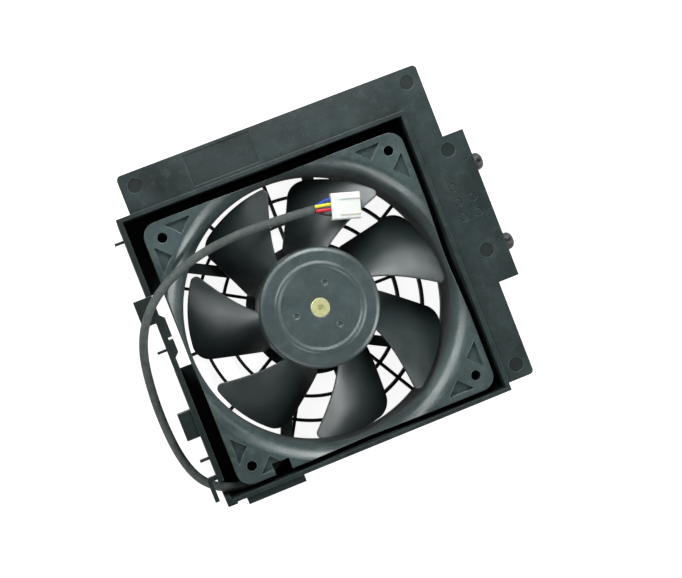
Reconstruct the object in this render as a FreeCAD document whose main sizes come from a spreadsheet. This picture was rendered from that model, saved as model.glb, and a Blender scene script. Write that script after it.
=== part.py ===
"""Drive cage fan assembly: a 120 mm axial fan screwed into a moulded holder with a lead and plug.

Frame: origin on the fan axis at the back face of the holder, +Z along the axis towards the air inlet,
+X towards the flange with the two bumpers, +Y towards the wide top flange. Millimetres.
"""

import FreeCAD
import Part
import Sketcher
import math
import os
import re
from FreeCAD import Placement, Rotation, Vector

doc = FreeCAD.newDocument("drive_cage_fan")
sheet = doc.addObject("Spreadsheet::Sheet", "dims")

# Driving dimensions: alias, value, meaning
DIMENSIONS = [
    ("seat_gap", 0.02, "gap round a pressed or seated piece"),
    ("fan_size", 120.0, "fan housing side"),
    ("fan_deep", 38.0, "fan housing depth"),
    ("room_left", 5.8, "fan to the left wall"),
    ("room_right", 2.6, "fan to the right wall"),
    ("room_up", 4.6, "fan to the upper wall"),
    ("room_down", 2.1, "fan to the lower wall"),
    ("rim_over", 3.5, "fan front to the holder's rim"),
    ("side_wall", 2.4, "left wall thickness"),
    ("thin_wall", 1.8, "thickness of the other three walls"),
    ("back_wall", 4.0, "back plate thickness"),
    ("rim_step", 1.5, "rim height above the flange"),
    ("flange_thick", 2.2, "flange plate thickness"),
    ("flange_up", 17.05, "upper flange, outwards from the upper wall"),
    ("flange_side", 12.3, "right flange, outwards from the right wall"),
    ("flange_inset", 6.6, "left wall's outer face to the left end of the upper flange"),
    ("flange_rise", 3.15, "lower wall's outer face to the lower end of the right flange"),
    ("flange_round", 2.0, "flange corner radius"),
    ("skirt_deep", 9.0, "lip below the flange's free edges"),
    ("rib_thick", 1.4, "lip and rib thickness"),
    ("ribs", 5, "ribs behind the upper flange"),
    ("tab_out", 9.4, "bumper tab, outwards from the right flange"),
    ("tab_high", 49.8, "fan axis up to the top of the bumper tab"),
    ("tab_low", 18.3, "fan axis down to the bottom of the bumper tab"),
    ("bumper_r", 3.9, "bumper head radius"),
    ("bumper_tip", 1.3, "bumper flat end radius"),
    ("bumper_out", 4.55, "bumper beyond the tab"),
    ("bumper_nose", 2.6, "rounded part of the bumper"),
    ("bumper_neck", 2.4, "bumper neck radius"),
    ("bumper_root", 4.7, "bumper neck length"),
    ("bumper_mid", 15.7, "middle of the two bumpers above the fan axis"),
    ("bumper_pitch", 37.5, "distance between the bumpers"),
    ("bumper_drop", 6.6, "flange face down to the bumper axis"),
    ("boss_wall", 2.6, "wall round a bumper neck"),
    ("mark_r", 3.2, "ejector mark radius"),
    ("mark_deep", 0.4, "ejector mark depth"),
    ("mark_edge", 6.3, "ejector mark from the flange's edges"),
    ("ring_r", 1.9, "small ring mark radius"),
    ("ring_wide", 0.5, "small ring mark width"),
    ("ring_deep", 0.3, "small ring mark depth"),
    ("ring_pitch", 6.9, "distance between the small ring marks"),
    ("ring_low", 13.8, "fan axis up to the lowest small ring mark"),
    ("panel_start", 32.0, "fan axis to the left end of the shallow panel"),
    ("panel_long", 30.0, "shallow panel length"),
    ("panel_edge", 1.5, "shallow panel from the flange's edges"),
    ("panel_deep", 0.35, "shallow panel depth"),
    ("slot_low", 3.6, "fan axis down to the latch slot's lower end"),
    ("slot_high", 31.5, "fan axis up to the latch slot's upper end"),
    ("slot_under", 1.0, "slot in the back plate, inwards from the fan's side"),
    ("latch_gap", 0.3, "gap round the latch arm"),
    ("latch_deep", 24.0, "latch arm depth below the rim"),
    ("latch_nose", 1.9, "stop noses on the arm, inwards"),
    ("nose_start", 5.0, "latch root to the first stop nose"),
    ("nose_long", 7.6, "first stop nose length"),
    ("nose_split", 1.4, "gap between the stop noses"),
    ("nose_ramp", 1.9, "ramp length on the stop noses"),
    ("grip_out", 6.0, "latch tab and guide tab, outwards from the left wall"),
    ("grip_long", 12.1, "latch tab and guide tab length"),
    ("guide_low", 32.2, "fan axis down to the lower end of the guide tab"),
    ("guide_deep", 10.0, "guide tab depth below the rim"),
    ("fin_out", 4.2, "guide fins, outwards from the left wall"),
    ("fin_thick", 1.1, "guide fin thickness"),
    ("fin_deep", 4.0, "guide fin depth below the flange face"),
    ("fin_pitch", 49.5, "distance between the guide fins"),
    ("fin_mid", 7.2, "middle fin above the fan axis"),
    ("notch_lift", 3.3, "lower wall's outer face up to the cable notch"),
    ("notch_wide", 7.4, "cable notch width"),
    ("notch_deep", 13.0, "cable notch depth below the rim"),
    ("hook_lift", 3.2, "cable hook above the notch"),
    ("hook_drop", 0.4, "cable hook tip below the notch"),
    ("hook_out", 4.4, "cable hook, outwards from the left wall"),
    ("hook_thick", 2.0, "cable hook thickness"),
    ("hook_deep", 4.0, "cable hook depth below the rim"),
    ("foot_out", 1.0, "corner foot below the lower wall"),
    ("foot_long", 4.5, "corner foot length"),
    ("rail_inset", 8.75, "left wall's outer face to the lower rail"),
    ("rail_long", 26.4, "lower rail length"),
    ("rail_out", 3.2, "lower rail, outwards from the lower wall"),
    ("rail_lip", 1.5, "lower rail lip thickness"),
    ("rail_web", 1.6, "lower rail web thickness"),
    ("rail_deep", 12.0, "lower rail depth below the rim"),
    ("guard_clear", 0.2, "outlet beyond the fan's flare"),
    ("guard_gap", 0.15, "gap round the finger guard"),
    ("guard_band", 2.0, "finger guard outer band width"),
    ("guard_step", 1.5, "finger guard outer band thickness"),
    ("guard_thick", 3.8, "finger guard thickness"),
    ("guard_rib", 1.4, "finger guard rib width"),
    ("guard_pitch", 11.1, "distance between the guard's rings"),
    ("guard_disc", 18.0, "guard middle disc radius"),
    ("guard_rings", 3, "finger guard rings"),
    ("guard_spokes", 12, "finger guard spokes"),
    ("fan_corner", 6.5, "fan housing corner radius"),
    ("hole_inset", 7.5, "fan's side to the screw holes"),
    ("fan_flange", 5.0, "fan corner flange thickness"),
    ("throat_inset", 1.2, "fan's side to the venturi throat"),
    ("flare_out", 0.8, "outlet flare, outwards from the throat"),
    ("flare_deep", 6.0, "outlet flare depth"),
    ("tube_wall", 2.0, "venturi wall thickness"),
    ("bell_out", 7.2, "bell mouth, outwards from the throat"),
    ("bell_deep", 10.0, "bell mouth depth"),
    ("pocket_deep", 1.8, "corner pocket depth"),
    ("pocket_edge", 2.6, "corner pocket from the fan's side"),
    ("pocket_long", 12.0, "corner pocket length"),
    ("pocket_in", 6.2, "corner pocket's point, inwards"),
    ("pocket_back", 2.5, "screw hole middle to the corner pocket"),
    ("base_r", 30.0, "motor base radius"),
    ("base_thick", 2.5, "motor base thickness"),
    ("base_lift", 0.6, "motor base above the fan's back face"),
    ("strut_wide", 4.8, "strut width"),
    ("strut_deep", 6.0, "strut depth"),
    ("strut_off", 11.4, "fan axis to a strut's middle line"),
    ("strut_left", 152.0, "left strut's direction from +X, degrees"),
    ("strut_right", 332.0, "right strut's direction from +X, degrees"),
    ("strut_lead", 248.0, "direction of the strut below the leads, degrees"),
    ("strut_top", 82.0, "upper strut's direction from +X, degrees"),
    ("lead_notch", 7.8, "lead notch width in the fan's front flange"),
    ("lead_notch_x", 40.4, "fan axis to the middle of the lead notch"),
    ("lead_notch_in", 5.0, "lead notch, inwards from the fan's side"),
    ("lead_notch_deep", 7.0, "lead notch depth"),
    ("stem_r", 7.0, "motor base stem outer radius"),
    ("stem_top", 28.0, "motor base stem above the fan's back face"),
    ("cap_step", 1.0, "rear cap beyond the bearing tube"),
    ("hub_r", 26.5, "impeller hub radius"),
    ("hub_wall", 1.5, "impeller hub wall"),
    ("hub_face", 2.0, "impeller hub face thickness"),
    ("hub_sink", 1.0, "hub face below the fan's front face"),
    ("hub_long", 28.5, "hub length"),
    ("hub_round", 2.0, "hub rim radius"),
    ("hub_dish", 0.2, "hub face sunk inside the ridge ring"),
    ("ridge_r", 18.8, "ridge ring radius on the hub face"),
    ("ridge_wide", 2.6, "ridge ring width"),
    ("ridge_high", 0.6, "ridge ring height"),
    ("dimple_r", 1.2, "hub dimple radius"),
    ("dimple_out", 11.1, "fan axis to the hub dimples"),
    ("dimple_turn", 59.0, "first hub dimple's angle from +X, degrees"),
    ("dimple_deep", 0.6, "hub dimple depth"),
    ("dimples", 3, "hub dimples"),
    ("blades", 7, "blade count"),
    ("tip_gap", 1.8, "blade tip to throat"),
    ("blade_sink", 4.0, "leading edge below the fan's front face"),
    ("blade_drop", 24.0, "leading edge down to the trailing edge"),
    ("blade_thick", 2.2, "greatest blade thickness"),
    ("blade_round", 8.0, "trailing tip corner radius"),
    ("nose_round", 2.5, "leading tip corner radius"),
    ("lead_root", 163.4, "leading edge angle at the root, degrees"),
    ("lead_sweep", 0.924, "forward sweep of the leading edge, degrees per mm"),
    ("lead_curl", 0.0085, "easing of that sweep, degrees per mm squared"),
    ("trail_root", 200.1, "trailing edge angle at the root, degrees"),
    ("trail_sweep", 0.25, "forward sweep of the trailing edge, degrees per mm"),
    ("trail_curl", 0.01, "growth of that sweep, degrees per mm squared"),
    ("shaft_r", 1.5, "shaft radius"),
    ("shaft_tail", 1.6, "shaft beyond the rear bearing"),
    ("shaft_sink", 0.2, "shaft end below the hub face"),
    ("edge_cut", 0.3, "chamfer on turned metal pieces"),
    ("groove_deep", 0.35, "clip groove depth"),
    ("groove_wide", 0.5, "clip groove width"),
    ("groove_back", 0.9, "rear bearing to the clip groove"),
    ("clip_thick", 0.4, "retaining clip thickness"),
    ("clip_out", 1.1, "retaining clip beyond the shaft"),
    ("clip_mouth", 1.6, "retaining clip opening"),
    ("bush_r", 4.2, "brass hub bush radius"),
    ("bush_long", 6.2, "brass hub bush length"),
    ("race_r", 4.0, "ball bearing outer radius"),
    ("race_wide", 4.0, "ball bearing width"),
    ("race_gap", 0.05, "running gap between a bearing's two rings"),
    ("race_split", 2.6, "radius where a bearing's two rings part"),
    ("race_stop", 0.5, "bearing tube shoulder height"),
    ("shield_sink", 0.25, "bearing shield below the ring's face"),
    ("shield_wall", 0.6, "bearing outer ring's face width"),
    ("spring_thick", 0.4, "preload spring thickness"),
    ("spring_flat", 0.6, "flat part of the preload spring"),
    ("sleeve_r", 5.5, "bearing tube outer radius"),
    ("sleeve_tail", 1.0, "bearing tube beyond the rear bearing"),
    ("rear_race", 4.0, "rear bearing above the fan's back face"),
    ("yoke_thick", 1.0, "steel yoke thickness"),
    ("yoke_lift", 0.6, "yoke's rim above the hub's"),
    ("magnet_thick", 3.0, "ring magnet thickness"),
    ("magnet_long", 18.0, "ring magnet length"),
    ("magnet_lift", 1.0, "ring magnet above the yoke's rim"),
    ("air_gap", 0.6, "magnet to stator"),
    ("stack_low", 12.0, "stator stack above the fan's back face"),
    ("stack_long", 12.0, "stator stack length"),
    ("core_ring", 3.2, "stator core ring thickness"),
    ("poles", 4, "stator poles"),
    ("pole_wide", 5.0, "stator pole neck width"),
    ("pole_tip", 2.2, "stator pole shoe thickness"),
    ("shoe_turn", 80.0, "stator pole shoe's angle, degrees"),
    ("coil_thick", 2.2, "winding build"),
    ("coil_gap", 0.4, "winding to the core ring and the shoes"),
    ("cap_thick", 1.0, "stator insulator thickness"),
    ("cap_inset", 0.4, "stator insulator inside the core's outline"),
    ("board_r", 22.0, "circuit board radius"),
    ("board_thick", 1.6, "circuit board thickness"),
    ("board_gap", 0.3, "circuit board to the windings"),
    ("screw_r", 1.9, "screw shank radius"),
    ("screw_play", 0.05, "self-tapping screw in its holes"),
    ("front_hole", 2.2, "screw hole radius in the fan's front flange"),
    ("screw_head", 3.6, "screw head radius"),
    ("screw_high", 2.2, "screw head height"),
    ("screw_long", 5.4, "screw length under the head"),
    ("cross_wide", 0.9, "cross recess width"),
    ("cross_long", 4.2, "cross recess length"),
    ("cross_deep", 1.1, "cross recess depth"),
    ("cable_d", 3.8, "cable sleeve diameter"),
    ("wire_d", 1.4, "single lead diameter"),
    ("wire_gap", 0.26, "half the gap between the leads at the sleeve's mouth"),
    ("wire_start", 0.4, "leads' start beyond the sleeve's mouth"),
    ("wire_bend", 1.6, "bend of the leads before the plug"),
    ("wire_in", 2.3, "lead inside the plug"),
    ("plug_long", 12.6, "plug length"),
    ("plug_wide", 11.5, "plug width"),
    ("plug_high", 5.8, "plug height"),
    ("plug_pitch", 2.2, "contact pitch"),
    ("plug_gap", 0.5, "plug above the blades' path"),
    ("plug_cut", 0.5, "plug edge chamfer"),
    ("key_wide", 0.8, "plug key width"),
    ("key_high", 0.6, "plug key height"),
    ("key_out", 3.4, "plug's middle line to its keys"),
    ("key_start", 3.6, "plug's lead face to its keys"),
    ("cell_wide", 1.9, "plug cell width"),
    ("cell_high", 2.0, "plug cell height"),
    ("contact_gap", 0.1, "contact in its cell"),
    ("contact_wall", 0.3, "contact wall"),
    ("contact_front", 1.6, "contact behind the plug's open end"),
]

# Dimensions that follow from the driving ones
DERIVED = [
    ("holder_left", "fan_size / 2 + room_left + side_wall", "fan axis to the left wall's outer face"),
    ("holder_right", "fan_size / 2 + room_right + thin_wall", "fan axis to the right wall's outer face"),
    ("holder_up", "fan_size / 2 + room_up + thin_wall", "fan axis to the upper wall's outer face"),
    ("holder_down", "fan_size / 2 + room_down + thin_wall", "fan axis to the lower wall's outer face"),
    ("holder_deep", "back_wall + fan_deep + rim_over", "back face of the holder to its rim"),
    ("flange_start", "holder_left - flange_inset", "fan axis to the left end of the upper flange"),
    ("flange_stop", "holder_down - flange_rise", "fan axis down to the right flange's lower end"),
    ("notch_low", "holder_down - notch_lift", "fan axis down to the bottom of the cable notch"),
    ("notch_high", "notch_low - notch_wide", "fan axis down to the top of the cable notch"),
    ("hook_high", "notch_high - hook_lift", "fan axis down to the top of the cable hook"),
    ("hook_low", "notch_low + hook_drop", "fan axis down to the tip of the cable hook"),
    ("rail_start", "holder_left - rail_inset", "fan axis to the left end of the lower rail"),
    ("slot_in", "fan_size / 2 - slot_under", "fan axis to the slot's edge in the back plate"),
    ("hole_out", "fan_size / 2 - hole_inset", "fan axis to the screw holes, along X and Y"),
    ("hole_r", "screw_r + screw_play", "screw hole radius at the back"),
    ("throat_r", "fan_size / 2 - throat_inset", "venturi throat radius"),
    ("outlet_r", "throat_r + flare_out + guard_clear", "outlet radius in the back plate"),
    ("guard_r", "outlet_r + guard_band", "finger guard outer radius"),
    ("magnet_r", "hub_r - hub_wall - yoke_thick - 2 * seat_gap", "ring magnet outer radius"),
    ("stator_r", "magnet_r - magnet_thick - air_gap", "stator core outer radius"),
    ("coil_low", "back_wall + stack_low - cap_thick - coil_thick - 2 * seat_gap", "windings' lower face"),
    ("board_low", "coil_low - board_gap - board_thick", "circuit board's lower face"),
]
ALIASES = {alias for alias, _, _ in DIMENSIONS + DERIVED}
for row, (alias, content, meaning) in enumerate(DIMENSIONS + DERIVED, start=1):
    sheet.set(f"A{row}", meaning)
    sheet.set(f"B{row}", f"={content}")
    sheet.setAlias(f"B{row}", alias)
doc.recompute()


def bind(text):
    """An expression over the sheet from a formula in bare aliases."""
    return re.sub(r"[a-z_]+[a-z0-9_]*", lambda m: f"dims.{m[0]}" if m[0] in ALIASES else m[0], str(text))


def value(text):
    """The present value of a formula in bare aliases."""
    return float(sheet.evalExpression(bind(text)))


# Heights and edges that many pieces share, as formulas
FAN_BACK = "back_wall"
FAN_FRONT = "(back_wall + fan_deep)"
FLANGE_TOP = "(holder_deep - rim_step)"
FLANGE_LOW = "(holder_deep - rim_step - flange_thick)"
HUB_TOP = "(back_wall + fan_deep - hub_sink)"
BLADE_TOP = "(back_wall + fan_deep - blade_sink)"
BASE_LOW = "(back_wall + base_lift)"
REAR_RACE = "(back_wall + rear_race)"
FRONT_RACE = "(back_wall + stem_top - race_wide)"
STACK_LOW = "(back_wall + stack_low)"
STACK_TOP = "(back_wall + stack_low + stack_long)"
FLANGE_EDGE = "(holder_right + flange_side)"
FLANGE_HEAD = "(holder_up + flange_up)"
TAB_EDGE = "(holder_right + flange_side + tab_out)"
SIDES = ("-", "+")
HOLE_SPOTS = [(f"{x}hole_out", f"{y}hole_out") for x in ("-", "") for y in ("-", "")]


# Sketch and feature helpers
def new_body(label):
    body = doc.addObject("PartDesign::Body", label)
    body.Label = label
    return body


def new_sketch(body, plane, height="0"):
    sketch = body.newObject("Sketcher::SketchObject", "profile")
    origin = next(f for f in body.Origin.OriginFeatures if f.Role == plane)
    sketch.AttachmentSupport = (origin, "")
    sketch.MapMode = "FlatFace"
    sketch.setExpression("AttachmentOffset.Base.z", bind(height))
    return sketch


def pin_point(sketch, geometry, position, x, y):
    """Ties a sketch point to the sheet with its two distances from the origin."""
    for kind, formula in (("DistanceX", x), ("DistanceY", y)):
        index = sketch.addConstraint(
            Sketcher.Constraint(kind, -1, 1, geometry, position, value(formula))
        )
        sketch.setExpression(f"Constraints[{index}]", bind(formula))


def add_outline(sketch, points):
    """A closed outline of straight lines through points given as formulas."""
    corners = [Vector(value(x), value(y), 0) for x, y in points]
    count = len(corners)
    first = sketch.GeometryCount
    for i in range(count):
        sketch.addGeometry(Part.LineSegment(corners[i], corners[(i + 1) % count]), False)
    for i in range(count):
        sketch.addConstraint(
            Sketcher.Constraint("Coincident", first + i, 2, first + (i + 1) % count, 1)
        )
    for i, (x, y) in enumerate(points):
        pin_point(sketch, first + i, 1, x, y)


def add_rectangle(sketch, x_low, x_high, y_low, y_high):
    add_outline(sketch, [(x_low, y_low), (x_high, y_low), (x_high, y_high), (x_low, y_high)])


def add_circle(sketch, x, y, radius):
    circle = Part.Circle(Vector(value(x), value(y), 0), Vector(0, 0, 1), value(radius))
    index = sketch.addGeometry(circle, False)
    pin_point(sketch, index, 3, x, y)
    size = sketch.addConstraint(Sketcher.Constraint("Radius", index, value(radius)))
    sketch.setExpression(f"Constraints[{size}]", bind(radius))


def pad(body, sketch, length):
    feature = body.newObject("PartDesign::Pad", "pad")
    feature.Profile = sketch
    feature.setExpression("Length", bind(length))
    return feature


def pocket(body, sketch, depth=None):
    """Cuts downwards from the sketch, through everything when no depth is given."""
    feature = body.newObject("PartDesign::Pocket", "pocket")
    feature.Profile = sketch
    if depth is None:
        feature.Type = 1
    else:
        feature.setExpression("Length", bind(depth))
    return feature


def turn(body, points, angle=None):
    """Revolves an outline of (radius, height) formulas about Z, all round or by an angle about +X."""
    sketch = new_sketch(body, "XZ_Plane")
    add_outline(sketch, points)
    feature = body.newObject("PartDesign::Revolution", "turn")
    feature.Profile = sketch
    feature.ReferenceAxis = (sketch, ["V_Axis"])
    if angle is None:
        feature.Angle = 360
    else:
        feature.Midplane = True
        feature.setExpression("Angle", bind(angle))
    return feature


def turn_along_x(body, points, middle, height):
    """Revolves an outline of (x, distance from the axis) formulas about a line along X."""
    sketch = new_sketch(body, "XY_Plane", height)
    add_outline(sketch, [(x, f"{middle} + {out}") for x, out in points])
    ends = [Vector(value(x), value(middle), 0) for x in (points[0][0], points[-1][0])]
    axis = sketch.addGeometry(Part.LineSegment(*ends), True)
    pin_point(sketch, axis, 1, points[0][0], middle)
    pin_point(sketch, axis, 2, points[-1][0], middle)
    feature = body.newObject("PartDesign::Revolution", "turn")
    feature.Profile = sketch
    feature.ReferenceAxis = (sketch, ["Axis0"])
    feature.Angle = 360
    return feature


def polar(body, features, count):
    pattern = body.newObject("PartDesign::PolarPattern", "polar")
    pattern.Originals = features
    pattern.Axis = (next(f for f in body.Origin.OriginFeatures if f.Role == "Z_Axis"), [""])
    pattern.Angle = 360
    pattern.setExpression("Occurrences", bind(count))
    body.Tip = pattern
    return pattern


def fillet(body, base, radius, chosen):
    """Rounds the edges of a feature that a test picks out."""
    doc.recompute()
    names = [f"Edge{i}" for i, edge in enumerate(base.Shape.Edges, start=1) if chosen(edge)]
    feature = body.newObject("PartDesign::Fillet", "round")
    feature.Base = (base, names)
    feature.setExpression("Radius", bind(radius))
    return feature


def turned(label, points):
    """A coaxial piece: one outline of (radius, height) formulas revolved about the fan axis."""
    body = new_body(label)
    turn(body, points)
    return body


def add_plus(sketch, x, y, wide, long):
    """A plus-shaped outline."""
    half, reach = f"{wide} / 2", f"{long} / 2"
    quarter = [(half, reach), (half, half), (reach, half)]
    points = []
    for _ in range(4):
        points += quarter
        quarter = [(right, f"-({up})") for up, right in quarter]
    add_outline(sketch, [(f"{x} + {right}", f"{y} + {up}") for right, up in points])


def solid_piece(label, shape):
    """A piece whose shape is worked out with Part's own functions from the sheet's values."""
    piece = doc.addObject("Part::Feature", label)
    piece.Label = label
    piece.Shape = shape
    return piece


def upright(edge):
    """True for an edge along Z."""
    low, high = edge.BoundBox.ZMin, edge.BoundBox.ZMax
    return edge.BoundBox.DiagonalLength - (high - low) < 1e-6


def upright_at(*spots):
    """A test for upright edges that stand at one of the (x, y) formulas."""
    places = [(value(x), value(y)) for x, y in spots]

    def test(edge):
        box = edge.BoundBox
        return upright(edge) and any(
            abs(box.XMin - x) < 0.01 and abs(box.YMin - y) < 0.01 for x, y in places
        )

    return test


# Moulded holder: back plate, four walls, flanges, bumper tab, guide fins, cable hook and lower rail
def make_holder():
    body = new_body("holder_frame")
    plate = new_sketch(body, "XY_Plane")
    add_rectangle(plate, "-holder_left", "holder_right", "-holder_down", "holder_up")
    pad(body, plate, "back_wall")

    walls = new_sketch(body, "XY_Plane")
    add_rectangle(walls, "-holder_left", "holder_right", "-holder_down", "holder_up")
    add_rectangle(
        walls,
        "-holder_left + side_wall",
        "holder_right - thin_wall",
        "-holder_down + thin_wall",
        "holder_up - thin_wall",
    )
    pad(body, walls, "holder_deep")

    # Outlet, with a rebate at the back for the guard's band
    outlet = new_sketch(body, "XY_Plane", "back_wall")
    add_circle(outlet, "0", "0", "outlet_r")
    pocket(body, outlet)
    rebate = new_sketch(body, "XY_Plane", "guard_step + seat_gap")
    add_circle(rebate, "0", "0", "guard_r + guard_gap")
    pocket(body, rebate, "guard_step + seat_gap")

    add_flange(body)
    add_bumper_seats(body)

    # Slot for the latch arm in the left wall and the back plate
    slot = new_sketch(body, "XY_Plane", "holder_deep")
    add_rectangle(slot, "-holder_left - side_wall", "-slot_in", "-slot_low", "slot_high")
    pocket(body, slot)

    # Guide fins, guide tab, corner foot and lower rail
    fins = new_sketch(body, "XY_Plane", f"{FLANGE_TOP} - fin_deep")
    for side in SIDES:
        add_fin(fins, f"(fin_mid {side} fin_pitch)")
    pad(body, fins, "fin_deep")
    guide = new_sketch(body, "XY_Plane", "holder_deep - guide_deep")
    add_rectangle(
        guide,
        "-holder_left - grip_out",
        "-holder_left + side_wall / 2",
        "-guide_low",
        "-guide_low + grip_long",
    )
    pad(body, guide, "guide_deep - rim_step / 2")
    foot = new_sketch(body, "XY_Plane")
    add_rectangle(
        foot,
        "-holder_left",
        "-holder_left + foot_long",
        "-holder_down - foot_out",
        "-holder_down + thin_wall / 2",
    )
    pad(body, foot, FLANGE_TOP)
    for out, deep in (("rail_web", "rail_deep - rim_step"), ("rail_out", "rail_lip")):
        rail = new_sketch(body, "XY_Plane", f"{FLANGE_TOP} - ({deep})")
        add_rectangle(
            rail,
            "-rail_start",
            "-rail_start + rail_long",
            f"-holder_down - {out}",
            "-holder_down + thin_wall / 2",
        )
        pad(body, rail, deep)

    # Cable notch through the left wall, and the hook that keeps the cable in it
    notch = new_sketch(body, "XY_Plane", "holder_deep")
    add_rectangle(
        notch, "-holder_left - side_wall", "-holder_left + 2 * side_wall", "-notch_low", "-notch_high"
    )
    pocket(body, notch, "notch_deep")
    hook = new_sketch(body, "XY_Plane", "holder_deep - hook_deep")
    add_outline(
        hook,
        [
            ("-holder_left + side_wall / 2", "-hook_high"),
            ("-holder_left - hook_out + hook_thick / 2", "-hook_high"),
            ("-holder_left - hook_out", "-hook_high - hook_thick / 2"),
            ("-holder_left - hook_out", "-hook_low"),
            ("-holder_left - hook_out + hook_thick", "-hook_low"),
            ("-holder_left - hook_out + hook_thick", "-hook_high - hook_thick"),
            ("-holder_left + side_wall / 2", "-hook_high - hook_thick"),
        ],
    )
    pad(body, hook, "hook_deep - rim_step / 2")

    # Screw holes with head recesses in the back plate
    holes = new_sketch(body, "XY_Plane", "back_wall")
    recesses = new_sketch(body, "XY_Plane", "screw_high + seat_gap")
    for x, y in HOLE_SPOTS:
        add_circle(holes, x, y, "hole_r")
        add_circle(recesses, x, y, "screw_head + screw_play")
    pocket(body, holes)
    pocket(body, recesses, "screw_high + seat_gap")
    body.Tip = body.Group[-1]
    return body


def add_fin(sketch, middle):
    """A thin guide fin on the left wall."""
    add_rectangle(
        sketch,
        "-holder_left - fin_out",
        "-holder_left + side_wall / 2",
        f"{middle} - fin_thick / 2",
        f"{middle} + fin_thick / 2",
    )


def add_flange(body):
    """One L-shaped plate with the bumper tab, a lip below its free edges, ribs and mould marks."""
    outer = [
        (FLANGE_EDGE, "-flange_stop"),
        (FLANGE_EDGE, "-tab_low"),
        (TAB_EDGE, "-tab_low"),
        (TAB_EDGE, "tab_high"),
        (FLANGE_EDGE, "tab_high"),
        (FLANGE_EDGE, FLANGE_HEAD),
        ("-flange_start", FLANGE_HEAD),
    ]
    wall_up, wall_right = "holder_up - thin_wall / 2", "holder_right - thin_wall / 2"
    plate = new_sketch(body, "XY_Plane", FLANGE_LOW)
    inner = [("-flange_start", wall_up), (wall_right, wall_up), (wall_right, "-flange_stop")]
    add_outline(plate, inner + outer)
    pad(body, plate, "flange_thick")

    skirt = new_sketch(body, "XY_Plane", f"{FLANGE_TOP} - skirt_deep")
    inner = [
        ("-flange_start", wall_up),
        ("-flange_start + rib_thick", wall_up),
        ("-flange_start + rib_thick", f"{FLANGE_HEAD} - rib_thick"),
        (f"{FLANGE_EDGE} - rib_thick", f"{FLANGE_HEAD} - rib_thick"),
        (f"{FLANGE_EDGE} - rib_thick", "tab_high - rib_thick"),
        (f"{TAB_EDGE} - rib_thick", "tab_high - rib_thick"),
        (f"{TAB_EDGE} - rib_thick", "-tab_low + rib_thick"),
        (f"{FLANGE_EDGE} - rib_thick", "-tab_low + rib_thick"),
        (f"{FLANGE_EDGE} - rib_thick", "-flange_stop + rib_thick"),
        (wall_right, "-flange_stop + rib_thick"),
        (wall_right, "-flange_stop"),
    ]
    add_outline(skirt, inner + outer)
    lip = pad(body, skirt, "skirt_deep")
    corners = [("-flange_start", FLANGE_HEAD), (FLANGE_EDGE, FLANGE_HEAD), (FLANGE_EDGE, "-flange_stop")]
    fillet(body, lip, "flange_round", upright_at(*corners))

    ribs = new_sketch(body, "XY_Plane", f"{FLANGE_TOP} - skirt_deep")
    count = int(value("ribs"))
    for place in range(1, count + 1):
        middle = f"(-flange_start + (flange_start + {FLANGE_EDGE}) * {place} / {count + 1})"
        add_rectangle(
            ribs,
            f"{middle} - rib_thick / 2",
            f"{middle} + rib_thick / 2",
            wall_up,
            f"{FLANGE_HEAD} - rib_thick / 2",
        )
    pad(body, ribs, "skirt_deep - flange_thick / 2")

    # Ejector marks, small ring marks and a shallow panel in the flange face
    marks = new_sketch(body, "XY_Plane", FLANGE_TOP)
    add_circle(marks, "-flange_start + mark_edge", f"{FLANGE_HEAD} - mark_edge", "mark_r")
    add_circle(marks, f"{FLANGE_EDGE} - mark_edge", f"{FLANGE_HEAD} - mark_edge", "mark_r")
    add_circle(marks, f"{FLANGE_EDGE} - mark_edge", "-flange_stop + mark_edge", "mark_r")
    add_circle(marks, FLANGE_EDGE, "tab_high - mark_edge", "mark_r")
    add_circle(marks, FLANGE_EDGE, "-mark_r", "mark_r")
    pocket(body, marks, "mark_deep")
    rings = new_sketch(body, "XY_Plane", FLANGE_TOP)
    column = f"({FLANGE_EDGE} - flange_side / 3)"
    spots = [(column, step) for step in (0, 1, 2)] + [(f"({column} + ring_pitch)", step) for step in (0, 1)]
    for x, step in spots:
        y = f"(ring_low + {step} * ring_pitch)"
        add_circle(rings, x, y, "ring_r")
        add_circle(rings, x, y, "ring_r - ring_wide")
    pocket(body, rings, "ring_deep")
    panel = new_sketch(body, "XY_Plane", FLANGE_TOP)
    add_rectangle(
        panel,
        "-panel_start",
        "-panel_start + panel_long",
        "holder_up + panel_edge",
        f"{FLANGE_HEAD} - panel_edge",
    )
    pocket(body, panel, "panel_deep")


def add_bumper_seats(body):
    """Bosses behind the tab, bored for the bumper necks."""
    bosses = new_sketch(body, "XY_Plane", f"{FLANGE_TOP} - bumper_drop - bumper_neck - boss_wall")
    for side in SIDES:
        middle = f"(bumper_mid {side} bumper_pitch / 2)"
        add_rectangle(
            bosses,
            f"{FLANGE_EDGE} - rib_thick / 2",
            TAB_EDGE,
            f"{middle} - bumper_neck - boss_wall",
            f"{middle} + bumper_neck + boss_wall",
        )
    pad(body, bosses, "bumper_drop + bumper_neck + boss_wall - flange_thick / 2")
    necks = new_sketch(body, "YZ_Plane", TAB_EDGE)
    for side in SIDES:
        add_circle(
            necks,
            f"bumper_mid {side} bumper_pitch / 2",
            f"{FLANGE_TOP} - bumper_drop",
            "bumper_neck + seat_gap",
        )
    pocket(body, necks, "bumper_root + 2 * seat_gap")


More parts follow.
